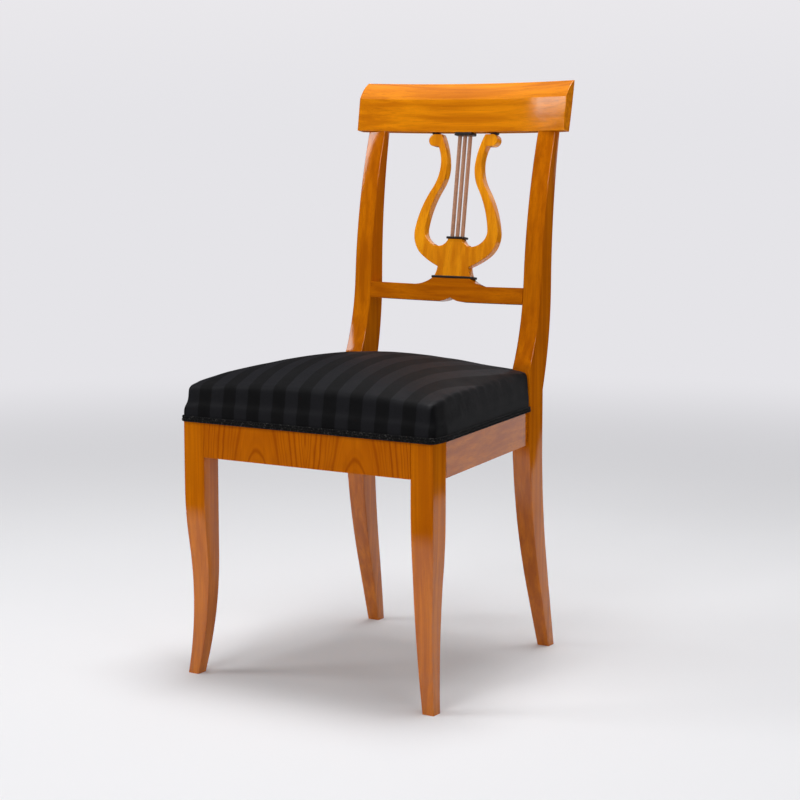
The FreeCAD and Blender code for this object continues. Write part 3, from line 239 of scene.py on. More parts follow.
def marks(tree, spot, size, detail=2.0, rough=0.5, bend=0.0, shift=0.0):
    """Noise whose marks have the real size (x, y, z) in metres."""
    place = {
        "Vector": spot,
        "Location": (shift, shift * 0.7, shift * 1.3),
        "Scale": tuple(1 / s for s in size),
    }
    look = {"Scale": 1.0, "Detail": detail, "Roughness": rough, "Distortion": bend}
    return add(tree, "TexNoise", {"Vector": add(tree, "Mapping", place), **look})


def drawn_out(along, across, run):
    """Size of a mark that is long on one axis."""
    size = [across, across, across]
    size[along] = run
    return tuple(size)


def polish(tree, shader, gloss, pores):
    """French polish: a thin clear coat over wood, with the pores just showing. It gives
    sharp reflections over a deep, warm ground."""
    sunk = add(tree, "MapRange", (pores, 0.3, 0.55))
    feed(
        tree,
        shader,
        Roughness=add(tree, "MapRange", (sunk, 0, 1, 0.46, 0.36)),
        Specular_IOR_Level=0.0,
        Coat_Weight=0.9,
        Coat_Roughness=gloss,
        Coat_IOR=1.56,
        Normal=add(tree, "Bump", {"Height": sunk, "Distance": 0.00004, "Strength": 0.5}),
        Coat_Normal=add(tree, "Bump", {"Height": sunk, "Distance": 0.00001, "Strength": 0.3}),
    )


def wood(name, finish, tone, along, look, contrast=1.0, shift=0.0):
    """Cherry with its grain along one axis."""
    made, tree, shader = new_material(name, finish)
    # it shows soft bands of light and dark, finer brown lines and short dark pores
    spot = add(tree, "TexCoord").outputs["Object"]
    cloud = marks(tree, spot, (0.16, 0.16, 0.16), 2, 0.5, 0.3, shift)
    band = drawn_out(along, look.figure, 0.34)
    figure = marks(tree, spot, band, 3, 0.55, 0.25, shift + 2)
    lines = marks(tree, spot, drawn_out(along, 0.0019, 0.16), 2, 0.6, 0.1, shift)
    pores = marks(tree, spot, drawn_out(along, 0.00030, 0.006), 1, 0.5, 0, shift)
    bands = add(tree, "MapRange", (figure, 0.30, 0.72), interpolation_type="SMOOTHSTEP")
    brown, bright = rgba(tone, 0.80, 0.70, 0.62), rgba(tone, 1.12, 1.16, 1.1)
    mixed = add(tree, "Mix", (bands, brown, bright), data_type="RGBA")
    streaks = add(tree, "MapRange", (lines, 0.50, 0.74, 0, 0.42 * contrast))
    mixed = add(tree, "Mix", (streaks, mixed, rgba(tone, 0.62, 0.48, 0.4)), data_type="RGBA")
    red = add(tree, "MapRange", (cloud, 0.3, 0.7, 0.90, 1.06))
    other = add(tree, "MapRange", (cloud, 0.3, 0.7, 0.86, 1.08))
    shade = add(tree, "CombineColor", (red, other, other))
    mixed = add(tree, "Mix", (1.0, mixed, shade), data_type="RGBA", blend_type="MULTIPLY")
    specks = add(tree, "MapRange", (pores, 0.36, 0.26, 0, 0.35))
    mixed = add(tree, "Mix", (specks, mixed, rgba(tone, 0.4, 0.28, 0.2)), data_type="RGBA")
    feed(tree, shader, Base_Color=mixed)
    polish(tree, shader, look.gloss, pores)
    return made


def arched_veneer(look):
    """Sliced veneer with upright grain and two pointed arches, as two leaves of one log."""
    made, tree, shader = new_material(
        "cherry_veneer", "flat cut cherry veneer, upright grain, French polished"
    )
    # it shows two dark-edged arches, fine lines outside them and a smooth gloss over both
    arch_middles = (-0.086, 0.0925)
    # an arch is a parabola, so many times as high in metres as its half width squared
    steepness = 68.7
    wander = 0.005
    line_spacing = 0.0048
    # half width on the rail's lower edge and softness of each arch's dark line
    dark_lines = ((0.0165, 0.0030), (0.041, 0.0042))
    darkness = 0.8
    tone = look.veneer
    spot = add(tree, "TexCoord").outputs["Object"]
    split = add(tree, "SeparateXYZ", (spot,))
    wave = marks(tree, spot, (0.02, 0.02, 0.05), 2, 0.5)
    low = frame_low("front_rail_veneer")
    above = add(tree, "Math", (split.outputs[Z], low), operation="SUBTRACT")
    rise = add(tree, "Math", (above, steepness), operation="DIVIDE")
    rings = []
    for middle in arch_middles:
        off = add(tree, "Math", (split.outputs[X], middle), operation="SUBTRACT")
        square = add(tree, "Math", (off, off), operation="MULTIPLY")
        raised = add(tree, "Math", (square, rise), operation="ADD")
        kept = add(tree, "Math", (raised, 0), operation="MAXIMUM")
        rings.append(add(tree, "Math", (kept,), operation="SQRT"))
    ring = add(tree, "Math", rings, operation="MINIMUM")
    swing = add(tree, "Math", (wave, 0.5), operation="SUBTRACT")
    ring = add(tree, "Math", (swing, wander, ring), operation="MULTIPLY_ADD")
    outside = add(tree, "MapRange", (ring, 0.040, 0.052), interpolation_type="SMOOTHSTEP")
    along = add(tree, "Math", (ring, line_spacing), operation="DIVIDE")
    grain = add(
        tree,
        "TexNoise",
        {"W": along, "Scale": 1.0, "Detail": 3.0, "Roughness": 0.6},
        noise_dimensions="1D",
    )
    shown = add(tree, "MapRange", (grain, 0.42, 0.68), interpolation_type="SMOOTHSTEP")
    strength = add(tree, "MapRange", (outside, 0, 1, 0.22, 0.85))
    lines = add(tree, "Math", (shown, strength), operation="MULTIPLY")
    for half_width, softness in dark_lines:
        away = add(tree, "Math", (ring, half_width), operation="SUBTRACT")
        gap = add(tree, "Math", (away,), operation="ABSOLUTE")
        edge = add(
            tree,
            "MapRange",
            (gap, 0, softness, darkness, 0),
            interpolation_type="SMOOTHSTEP",
        )
        lines = add(tree, "Math", (lines, edge), operation="MAXIMUM")
    fine = marks(tree, spot, (0.0011, 0.0011, 0.07), 2, 0.5, 0.1)
    pores = marks(tree, spot, (0.00028, 0.00028, 0.005), 1, 0.5)
    pale, bright = rgba(tone, 0.94, 0.9, 0.85), rgba(tone, 1.1, 1.14, 1.1)
    clouds = add(tree, "MapRange", (wave, 0.3, 0.7))
    mixed = add(tree, "Mix", (clouds, pale, bright), data_type="RGBA")
    mixed = add(tree, "Mix", (lines, mixed, rgba(tone, 0.66, 0.52, 0.4)), data_type="RGBA")
    streaks = add(tree, "MapRange", (fine, 0.52, 0.75, 0, 0.3))
    mixed = add(tree, "Mix", (streaks, mixed, rgba(tone, 0.58, 0.44, 0.3)), data_type="RGBA")
    feed(tree, shader, Base_Color=mixed)
    polish(tree, shader, look.gloss, pores)
    return made


def frame_low(node):
    """The height of a CAD node's lower edge."""
    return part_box(node)[0].z


def plain_beech():
    """Planed beech inside the seat, oiled by age, with its short flecks."""
    made, tree, shader = new_material("beech", "planed beech, unfinished")
    # it shows a pale, matt brown with the dark flecks that beech is known by
    spot = add(tree, "TexCoord").outputs["Object"]
    tone = srgb("#B98E5E")
    grain = marks(tree, spot, (0.12, 0.004, 0.004), 3, 0.55, 0.2)
    flecks = marks(tree, spot, (0.003, 0.0006, 0.0006), 1, 0.5)
    bands = add(tree, "MapRange", (grain, 0.3, 0.7))
    mixed = add(tree, "Mix", (bands, rgba(tone, 0.75), rgba(tone, 1.12)), data_type="RGBA")
    specks = add(tree, "MapRange", (flecks, 0.58, 0.7, 0, 0.5))
    mixed = add(tree, "Mix", (specks, mixed, rgba(tone, 0.5)), data_type="RGBA")
    feed(
        tree,
        shader,
        Base_Color=mixed,
        Roughness=add(tree, "MapRange", (grain, 0.3, 0.7, 0.62, 0.74)),
        Normal=add(tree, "Bump", {"Height": flecks, "Distance": 0.00005, "Strength": 0.5}),
    )
    return made


def ebonised(look):
    """Black stained pear under polish."""
    made, tree, shader = new_material("ebonised_wood", "black stained wood, polished")
    # it shows near black with a soft gloss, its grain only just there
    spot = add(tree, "TexCoord").outputs["Object"]
    grain = marks(tree, spot, (0.02, 0.0012, 0.0012), 2, 0.6)
    bands = add(tree, "MapRange", (grain, 0.3, 0.7))
    deep, worn = rgba(look.ebony, 0.6), rgba(look.ebony, 1.9)
    mixed = add(tree, "Mix", (bands, deep, worn), data_type="RGBA")
    feed(
        tree,
        shader,
        Base_Color=mixed,
        Roughness=add(tree, "MapRange", (grain, 0.3, 0.7, 0.42, 0.3)),
        Coat_Weight=0.4,
        Coat_Roughness=0.12,
        Normal=add(tree, "Bump", {"Height": grain, "Distance": 0.00002, "Strength": 0.4}),
    )
    return made


def rod_wood(look):
    """Turned rods of stained cherry, polished."""
    made, tree, shader = new_material("string_rod", "turned stained cherry, polished")
    # it shows a greyer brown than the frame with upright lines and a long highlight
    spot = add(tree, "TexCoord").outputs["Object"]
    lines = marks(tree, spot, (0.0009, 0.0009, 0.08), 2, 0.6)
    pores = marks(tree, spot, (0.0003, 0.0003, 0.005), 1, 0.5)
    bands = add(tree, "MapRange", (lines, 0.3, 0.7))
    deep, bright = rgba(look.rods, 0.72), rgba(look.rods, 1.2)
    mixed = add(tree, "Mix", (bands, deep, bright), data_type="RGBA")
    feed(tree, shader, Base_Color=mixed)
    polish(tree, shader, 0.15, pores)
    return made


def screw_steel():
    """Bright drawn steel with faint turning marks."""
    made, tree, shader = new_material("steel", "bright steel wood screws")
    # it shows grey metal whose highlight is broken by fine turning marks
    spot = add(tree, "TexCoord").outputs["Object"]
    turned = marks(tree, spot, (0.0006, 0.0006, 0.0002), 1, 0.5)
    bands = add(tree, "MapRange", (turned, 0.3, 0.7))
    dull, bright = rgba(srgb("#8D8A84")), rgba(srgb("#B9B6AF"))
    feed(
        tree,
        shader,
        Base_Color=add(tree, "Mix", (bands, dull, bright), data_type="RGBA"),
        Metallic=1.0,
        Roughness=add(tree, "MapRange", (turned, 0.3, 0.7, 0.28, 0.44)),
    )
    return made


def weave_height(tree, spot, pitch):
    """A plain weave's height from 0 to 1, from the threads' pitch across and along."""
    split = add(tree, "SeparateXYZ", (spot,))
    waves = []
    for way in (X, Y):
        turn = add(tree, "Math", (split.outputs[way], math.tau / pitch / 2), operation="MULTIPLY")
        waves.append(add(tree, "Math", (turn,), operation="SINE"))
    crossed = add(tree, "Math", waves, operation="MULTIPLY")
    return add(tree, "Math", (crossed, 0.5, 0.5), operation="MULTIPLY_ADD")


def woven(name, finish, tone, pitch):
    """Jute cloth or webbing in a plain weave."""
    made, tree, shader = new_material(name, finish)
    # it shows a dull, hairy surface whose threads cross as small squares, with painted shade in the
    # weave's low places
    spot = add(tree, "TexCoord").outputs["Object"]
    knit = weave_height(tree, spot, pitch)
    fibre = marks(tree, spot, (0.004, 0.0009, 0.0009), 3, 0.6)
    # painted shade: the weave's low places are coloured darker and its raised threads lighter,
    # following the bump's height
    raised = add(tree, "MapRange", (knit, 0.2, 0.8))
    mixed = add(tree, "Mix", (raised, rgba(tone, 0.55), rgba(tone, 1.1)), data_type="RGBA")
    hairs = add(tree, "MapRange", (fibre, 0.45, 0.75, 0, 0.5))
    mixed = add(tree, "Mix", (hairs, mixed, rgba(tone, 1.5)), data_type="RGBA")
    feed(
        tree,
        shader,
        Base_Color=mixed,
        Roughness=0.85,
        Sheen_Weight=0.2,
        Normal=add(tree, "Bump", {"Height": knit, "Distance": pitch * 0.2, "Strength": 0.8}),
    )
    return made


def striped_cloth(look):
    """Black cloth with satin stripes that run from front to back."""
    made, tree, shader = new_material(
        "striped_cover", "black cloth with satin stripes, fine rib"
    )
    # it shows broad stripes, a shade apart, that catch a little more light than the ground; the
    # paler stripes' colour is partly their satin weave and partly painted sheen
    stripe_edge = 0.0005
    # the rib is 0.7 mm, too fine to see at the photo's distance, and shows close by
    rib_spacing = 0.0007
    spot = add(tree, "TexCoord").outputs["Object"]
    split = add(tree, "SeparateXYZ", (spot,))
    facing = add(tree, "SeparateXYZ", (add(tree, "NewGeometry").outputs["Normal"],))
    side = add(tree, "Math", (facing.outputs[X],), operation="ABSOLUTE")
    half = look.period / 2
    wave = add(tree, "Math", (split.outputs[X], half), operation="PINGPONG")
    stripe = add(tree, "MapRange", (wave, half / 2 - stripe_edge, half / 2 + stripe_edge))
    # the sides of the seat are plain
    upward = add(tree, "MapRange", (side, 0.86, 0.62))
    stripe = add(tree, "Math", (stripe, upward), operation="MULTIPLY")
    run = add(tree, "Math", (split.outputs[Y], split.outputs[Z]), operation="ADD")
    turn = add(tree, "Math", (run, math.tau / rib_spacing), operation="MULTIPLY")
    rib = add(tree, "Math", (turn,), operation="SINE")
    thread = marks(tree, spot, (0.0006, 0.0045, 0.0045), 2, 0.6)
    mottle = marks(tree, spot, (0.035, 0.035, 0.035), 3, 0.6)
    threads = add(tree, "MapRange", (thread, 0.3, 0.7))
    dark = add(tree, "Mix", (threads, rgba(look.dark, 0.8), rgba(look.dark, 1.2)), data_type="RGBA")
    # the paler satin stripe: its colour is partly its own and partly painted sheen
    light = add(
        tree, "Mix", (threads, rgba(look.light, 0.84), rgba(look.light, 1.16)), data_type="RGBA"
    )
    mixed = add(tree, "Mix", (stripe, dark, light), data_type="RGBA")
    worn = add(tree, "MapRange", (mottle, 0.3, 0.75, 0, 0.25))
    mixed = add(tree, "Mix", (worn, mixed, rgba(look.light, 1.1)), data_type="RGBA")
    fold = marks(tree, spot, (0.012, 0.012, 0.012), 2, 0.5)
    soft = add(tree, "Bump", {"Height": fold, "Distance": 0.0004, "Strength": 0.35})
    ribbed = {"Height": rib, "Distance": 0.00005, "Strength": 0.25, "Normal": soft}
    feed(
        tree,
        shader,
        Base_Color=mixed,
        Roughness=add(tree, "MapRange", (stripe, 0, 1, 0.60, 0.50)),
        Specular_IOR_Level=0.10,
        Sheen_Weight=0.015,
        Sheen_Roughness=0.4,
        Sheen_Tint=rgba(srgb("#B8B0C4")),
        Normal=add(tree, "Bump", ribbed),
    )
    return made


def braid_cord(look):
    """Black twisted silk cord, with grey specks painted on as highlights of its loops."""
    made, tree, shader = new_material("gimp", "black silk braid of looped cord")
    # it shows black with a dull sheen, and sparse grey specks that are painted highlights
    spot = add(tree, "TexCoord").outputs["Object"]
    fibre = marks(tree, spot, (0.0008, 0.0008, 0.0008), 2, 0.6)
    specks = marks(tree, spot, (0.0022, 0.0022, 0.0022), 1, 0.5)
    fibres = add(tree, "MapRange", (fibre, 0.3, 0.7))
    deep, worn = rgba(look.tone, 0.6), rgba(look.tone, 2.2)
    mixed = add(tree, "Mix", (fibres, deep, worn), data_type="RGBA")
    # painted highlight: sparse grey specks stand for glints on the black cord
    painted_glints = add(tree, "MapRange", (specks, 0.60, 0.68, 0, 0.7))
    mixed = add(tree, "Mix", (painted_glints, mixed, rgba(srgb("#4A4947"))), data_type="RGBA")
    feed(
        tree,
        shader,
        Base_Color=mixed,
        Roughness=add(tree, "MapRange", (fibre, 0.3, 0.7, 0.5, 0.66)),
        Specular_IOR_Level=0.15,
        Sheen_Weight=0.02,
        Normal=add(tree, "Bump", {"Height": fibre, "Distance": 0.0001, "Strength": 0.6}),
    )
    return made


# Pieces


def as_piece(name, form, material, slot, *stands_for):
    """A finished piece from a bmesh: it rides on the chair and takes a material."""
    mesh = bpy.data.meshes.new(name)
    form.to_mesh(mesh)
    form.free()
    if "custom_normal" in mesh.attributes:
        mesh.attributes.remove(mesh.attributes["custom_normal"])
    mesh.materials.clear()
    mesh.materials.append(material)
    piece = bpy.data.objects.new(name, mesh)
    bpy.context.scene.collection.objects.link(piece)
    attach(piece, "root")
    if stands_for:
        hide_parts(*stands_for)
    return piece


def copied(node):
    """A merged copy of a CAD node's mesh as a bmesh."""
    form = bmesh.new()
    form.from_mesh(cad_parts[node].data)
    bmesh.ops.remove_doubles(form, verts=form.verts, dist=2e-6)
    bmesh.ops.dissolve_degenerate(form, dist=1e-7, edges=form.edges)
    bmesh.ops.recalc_face_normals(form, faces=form.faces)
    return form


def smooth_by_angle(form, degrees):
    """Shades a form smooth, with edges sharper than the angle kept sharp."""
    limit = math.radians(degrees)
    for face in form.faces:
        face.smooth = True
    for edge in form.edges:
        edge.smooth = edge.is_manifold and edge.calc_face_angle(0.0) < limit


def reshaded(node, material, slot, degrees=50):
    """A CAD piece again, with its eased edges shaded round and its flats kept flat."""
    form = copied(node)
    smooth_by_angle(form, degrees)
    piece = as_piece(f"{node}_finish", form, material, slot, node)
    shading = piece.modifiers.new("Weighted normals", "WEIGHTED_NORMAL")
    shading.keep_sharp = True
    shading.weight = 90
    return piece


def dress(node, material):
    """Gives a CAD node that stays its material."""
    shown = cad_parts[node]
    shown.data.materials.clear()
    shown.data.materials.append(material)
    for spot in shown.material_slots:
        spot.material = material


class Failed(Exception):
    """A step that could not finish. The message says why."""


class CHAIR_OT_frame(bpy.types.Operator):
    """Finish the legs, rails and blocks of the chair"""

    bl_idname = "chair.frame"
    bl_label = "Finish the frame"

    def execute(self, context):
        look = context.scene.chair_wood
        cherry = look.cherry
        upright = {
            name: wood(
                f"polished_cherry_{name}",
                "solid cherry, grain upright, French polished",
                cherry,
                Z,
                look,
                shift=3.0 * number,
            )
            for number, name in enumerate(LEGS)
        }
        for name in LEGS:
            reshaded(name, upright[name], "polished_cherry")
        lengthwise = wood(
            "polished_cherry_side",
            "solid cherry, grain from front to back, French polished",
            cherry,
            Y,
            look,
            shift=1.7,
        )
        for name in SIDE_RAILS:
            reshaded(name, lengthwise, "polished_cherry")
        crosswise = wood(
            "polished_cherry_cross",
            "solid cherry, grain from side to side, French polished",
            cherry,
            X,
            look,
            shift=5.1,
        )
        reshaded("middle_rail", crosswise, "polished_cherry")
        pale = wood(
            "polished_cherry_crest",
            "solid cherry, grain from side to side, French polished",
            look.crest,
            X,
            look,
            shift=6.4,
        )
        reshaded("crest_rail", pale, "polished_cherry")
        dress("back_seat_rail", crosswise)
        reshaded("front_rail_veneer", arched_veneer(look), "cherry_veneer")
        inside = plain_beech()
        for name in BEECH:
            dress(name, inside)
        dress("corner_block_screws", screw_steel())
        return {"FINISHED"}


class CHAIR_OT_lyre(bpy.types.Operator):
    """Finish the lyre, its black plates and its three rods"""

    bl_idname = "chair.lyre"
    bl_label = "Finish the lyre"

    def execute(self, context):
        look = context.scene.chair_wood
        board = wood(
            "lyre_cherry",
            "paler cherry board, grain upright, French polished",
            look.lyre,
            Z,
            look,
            contrast=0.8,
            shift=9.3,
        )
        reshaded("lyre", board, "lyre_cherry")
        black = ebonised(look)
        for name in CAPS:
            reshaded(name, black, "ebonised_wood")
        rod = rod_wood(look)
        for name in STRINGS:
            reshaded(name, rod, "string_rod")
        return {"FINISHED"}


def cover_skin():
    """The outward faces of the CAD cover, to fit the cloth to, and its hem's height."""
    form = copied("seat_cover")
    # a point inside the seat, from which an outward face looks away
    heart = Vector((0, -0.03, 0.41))
    inner = [
        face
        for face in form.faces
        if (face.calc_center_median() - heart).dot(face.normal) < 0
    ]
    bmesh.ops.delete(form, geom=inner, context="FACES")
    if not form.faces:
        raise Failed("the cover has no outward faces")
    skin = BVHTree.FromBMesh(form)
    form.free()
    return skin, frame_low("seat_cover")


def seat_body(hem):
    """The stuffing's solid with its notches, carried down past the cover's hem."""
    form = copied("seat_stuffing")
    low = frame_low("seat_stuffing")
    for vert in form.verts:
        if vert.co.z < low + HEM_STEP:
            vert.co.z = hem - HEM_DEPTH
    return form


def fitted(spot, skin, hem, post):
    """The point of the cover's skin beside a point of the seat, at its own height below
    the hem. A point in a notch stays, clear of the post."""
    level = max(spot.z, hem + HEM_STEP)
    near = skin.find_nearest(Vector((spot.x, spot.y, level)), SKIN_REACH)[0]
    if near is None:
        near = spot.copy()
    if spot.z < level:
        near.z = spot.z
    notch_x, notch_y = post.x - POST_GAP, post.y - POST_GAP
    inside, behind = abs(near.x) - notch_x, near.y - notch_y
    if inside > 0 and behind > 0:
        if inside < behind:
            near.x = math.copysign(notch_x, near.x)
        else:
            near.y = notch_y
    return near


def evaluated(piece):
    """The mesh of a piece with its modifiers applied."""
    context = bpy.context.evaluated_depsgraph_get()
    return bpy.data.meshes.new_from_object(piece.evaluated_get(context))


def freedom(spot):
    """How far the cloth may leave its form at a point, from 0 where it is tacked to 1."""
    rail_top, rise = 0.414, 0.016
    post_x, post_y, post_reach, give = 0.150, 0.127, 0.020, 0.025
    up = min(1.0, max(0.0, (spot.z - rail_top) / rise))
    away = Vector((abs(spot.x) - post_x, spot.y - post_y)).length
    clear = min(1.0, max(0.0, (away - post_reach) / give))
    return up * clear


def puffed(piece, look):
    """Swells the cloth over its stuffing by simulation, and holds its points near the form."""
    frames = 20
    pins = piece.vertex_groups.new(name="tacked")
    start = [v.co.copy() for v in piece.data.vertices]
    for vert in piece.data.vertices:
        pins.add([vert.index], 1.0 - freedom(vert.co), "REPLACE")
    cloth = piece.modifiers.new("Cloth", "CLOTH")
    cloth.settings.quality = 5
    cloth.settings.vertex_group_mass = "tacked"
    cloth.settings.use_pressure = True
    cloth.settings.uniform_pressure_force = 4
    cloth.settings.effector_weights.gravity = 0
    cloth.settings.bending_stiffness = 0.3
    cloth.collision_settings.use_collision = False
    cloth.point_cache.frame_start = 1
    cloth.point_cache.frame_end = frames
    for step in range(1, frames + 1):
        bpy.context.scene.frame_set(step)
    mesh = evaluated(piece)
    moved = [v.co.copy() for v in mesh.vertices]
    bpy.data.meshes.remove(mesh)
    piece.modifiers.remove(cloth)
    piece.vertex_groups.clear()
    bpy.context.scene.frame_set(1)
    for vert, old, new in zip(piece.data.vertices, start, moved):
        step = new - old
        if step.length > look.swell:
            step *= look.swell / step.length
        vert.co = old + step


def hump(offset, width):
    """A smooth hump of height 1 that fades to both sides of an offset of 0."""
    return math.exp(-((offset / width) ** 2))


def pucker(spot):
    """Small folds where the cloth is pulled round a front corner and tacked down."""
    corner_x, corner_y = 0.2215, -0.2445
    fold_top, fade = 0.462, 0.03
    groove_depth, ridge_height, ridge_offset = 0.0022, 0.0009, 0.007
    pull_depth = 0.0005
    corner = Vector((math.copysign(corner_x, spot.x), corner_y))
    near = (Vector((spot.x, spot.y)) - corner).length
    side = (abs(spot.x) - corner_x) - (corner_y - spot.y)
    low = max(0.0, min(1.0, (fold_top - spot.z) / fade))
    groove = hump(side, 0.0035) * hump(near, 0.016)
    ridge = hump(side + ridge_offset, 0.004) * hump(near, 0.02)
    pull = noise.noise(Vector((spot.x * 34, spot.y * 34, spot.z * 9))) * pull_depth
    return (ridge_height * ridge - groove_depth * groove) * low + pull * freedom(spot)


class CHAIR_OT_cover(bpy.types.Operator):
    """Stretch the striped cover over the stuffing"""

    bl_idname = "chair.cover"
    bl_label = "Cover the seat"

    def execute(self, context):
        look = context.scene.chair_cover
        smoothings, loose_from, thickness = 3, 0.3, 0.0014
        skin, hem = cover_skin()
        form = seat_body(hem)
        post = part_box("right_back_leg")[0]
        cover = as_piece(
            "striped_seat_cover",
            form,
            striped_cloth(look),
            "striped_cover",
            "seat_cover",
            "seat_stuffing",
        )
        remesh = cover.modifiers.new("Remesh", "REMESH")
        remesh.mode = "VOXEL"
        remesh.voxel_size = look.voxel
        mesh = evaluated(cover)
        cover.modifiers.remove(remesh)
        cover.data = mesh
        mesh.name = cover.name
        normals = [v.normal.copy() for v in mesh.vertices]
        for vert, outward in zip(mesh.vertices, normals):
            on_form = fitted(vert.co, skin, hem, post)
            vert.co = on_form - outward * look.slack * freedom(on_form)
        mesh.update()
        puffed(cover, look)
        calmed = bmesh.new()
        calmed.from_mesh(mesh)
        loose = [v for v in calmed.verts if freedom(v.co) > loose_from]
        for _ in range(smoothings):
            bmesh.ops.smooth_vert(
                calmed,
                verts=loose,
                factor=0.5,
                use_axis_x=True,
                use_axis_y=True,
                use_axis_z=True,
            )
        calmed.to_mesh(mesh)
        calmed.free()
        mesh.update()
        normals = [v.normal.copy() for v in mesh.vertices]
        for vert, outward in zip(mesh.vertices, normals):
            vert.co += outward * pucker(vert.co)
            free = freedom(vert.co)
            if free < 1:
                vert.co = fitted(vert.co, skin, hem, post).lerp(vert.co, free)
        form = bmesh.new()
        form.from_mesh(mesh)
        bmesh.ops.bisect_plane(
            form,
            geom=form.verts[:] + form.edges[:] + form.faces[:],
            plane_co=(0, 0, hem),
            plane_no=(0, 0, -1),
            clear_outer=True,
        )
        for face in form.faces:
            face.smooth = True
        form.to_mesh(mesh)
        form.free()
        soft = cover.modifiers.new("Subdivision", "SUBSURF")
        soft.levels = soft.render_levels = 1
        cloth = cover.modifiers.new("Cloth thickness", "SOLIDIFY")
        cloth.thickness = thickness
        cloth.offset = -1
        return {"FINISHED"}


def braid_path(plan):
    """The braid's middle line as a flat curve through the points of its plan."""
    line = bpy.data.curves.new("braid_path", "CURVE")
    line.dimensions = "2D"
    line.resolution_u = 1
    spline = line.splines.new("POLY")
    spline.points.add(len(plan) - 1)
    for point, spot in zip(spline.points, plan):
        point.co = (spot[0], spot[1], 0, 1)
    return line


def run_along(points, pitch):
    """Evenly spaced places and headings along a line of points."""
    lengths = [(b - a).length for a, b in zip(points, points[1:])]
    total = sum(lengths)
    count = max(2, round(total / pitch))
    places, at, passed = [], 0, 0.0
    for number in range(count):
        want = (number + 0.5) * total / count
        while passed + lengths[at] < want and at < len(lengths) - 1:
            passed += lengths[at]
            at += 1
        ahead = (points[at + 1] - points[at]).normalized()
        places.append((points[at] + ahead * (want - passed), ahead))
    return places


def tube_mesh(line, depth, height, extrude=0.0):
    """The mesh of a curve with a round section, lifted to its height."""
    line.bevel_depth = depth
    line.bevel_resolution = 2
    line.extrude = extrude
    line.use_fill_caps = True
    holder = bpy.data.objects.new("braid_line", line)
    bpy.context.scene.collection.objects.link(holder)
    bpy.context.view_layer.update()
    mesh = evaluated(holder)
    mesh.transform(Matrix.Translation((0, 0, height)))
    bpy.data.objects.remove(holder)
    return mesh


def cord_loop(look):
    """One loop of the braid, standing in the plane of the seat's side."""
    slant = math.radians(14)
    form = bmesh.new()
    ring = bmesh.ops.create_circle(form, segments=5, radius=look.cord)
    turned = Matrix.Rotation(math.pi / 2, 4, "X")
    bmesh.ops.transform(form, matrix=turned, verts=ring["verts"])
    bmesh.ops.translate(form, vec=(look.loop, 0, 0), verts=ring["verts"])
    bmesh.ops.spin(
        form,
        geom=form.verts[:] + form.edges[:],
        axis=(0, 0, 1),
        cent=(0, 0, 0),
        angle=math.tau,
        steps=10,
        use_merge=True,
    )
    # a little slant lays each loop over the next
    stand = Matrix.Rotation(math.pi / 2, 4, "X") @ Matrix.Rotation(slant, 4, "Y")
    bmesh.ops.transform(form, matrix=stand, verts=form.verts)
    bmesh.ops.recalc_face_normals(form, faces=form.faces)
    mesh = bpy.data.meshes.new("cord_loop")
    form.to_mesh(mesh)
    form.free()
    return mesh


def braid(name, node, plan, look, material):
    """A flat braid along a plan line: a backing, two edge cords and two rows of loops."""
    backing_half, backing_inset = 0.00045, 0.0014
    edge_cord, edge_inset = 0.00050, 0.0006
    row_height, stand_off = 0.0021, 0.0003
    low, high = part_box(node)
    bottom, top = low.z, high.z
    middle = (bottom + top) / 2
    form = bmesh.new()
    line = braid_path(plan)
    for depth, height, extrude in (
        (backing_half, middle, (top - bottom) / 2 - backing_inset),
        (edge_cord, bottom + edge_inset, 0),
        (edge_cord, top - edge_inset, 0),
    ):
        mesh = tube_mesh(line, depth, height, extrude)
        form.from_mesh(mesh)
        bpy.data.meshes.remove(mesh)
    bpy.data.curves.remove(line)
    loop = cord_loop(look)
    points = [Vector((x, y, 0)) for x, y in plan]
    # the lower row's loops lie half a pitch along from the upper's
    rows = ((middle + row_height, 0.0), (middle - row_height, 0.5))
    for height, offset in rows:
        for spot, ahead in run_along(points, look.pitch):
            out = Vector((ahead.y, -ahead.x, 0))
            turn = Matrix((ahead, out, Vector((0, 0, 1)))).transposed().to_4x4()
            at = spot + ahead * look.pitch * offset + out * stand_off
            start = len(form.verts)
            form.from_mesh(loop)
            form.verts.ensure_lookup_table()
            bmesh.ops.transform(
                form,
                matrix=Matrix.Translation((at.x, at.y, height)) @ turn,
                verts=form.verts[start:],
            )
    bpy.data.meshes.remove(loop)
    for face in form.faces:
        face.smooth = True
    return as_piece(name, form, material, "gimp", node)


class CHAIR_OT_braid(bpy.types.Operator):
    """Lay the looped braid over the cover's lower edge"""

    bl_idname = "chair.braid"
    bl_label = "Lay the braid"

    def execute(self, context):
        look = context.scene.chair_braid
        material = braid_cord(look)
        # plan of the cover's side in metres: a round front corner, then straight to the post
        arc_x, arc_y, radius = 0.2191, -0.2420, 0.0090
        side_front, side_back = (0.2281, -0.2104), (0.1786, 0.1262)
        back_y, end_gap = 0.1721, 0.0008
        arc_steps = 10
        arc = []
        for step in range(arc_steps + 1):
            turn = math.radians(90 * step / arc_steps)
            arc.append((arc_x + radius * math.sin(turn), arc_y - radius * math.cos(turn)))
        right = [*arc, side_front, side_back]
        plan = [(-x, y) for x, y in reversed(right)] + right
        braid("looped_braid", "gimp_braid", plan, look, material)
        low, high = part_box("back_gimp_braid")
        back = [(high.x - end_gap, back_y), (low.x + end_gap, back_y)]
        braid("looped_back_braid", "back_gimp_braid", back, look, material)
        return {"FINISHED"}


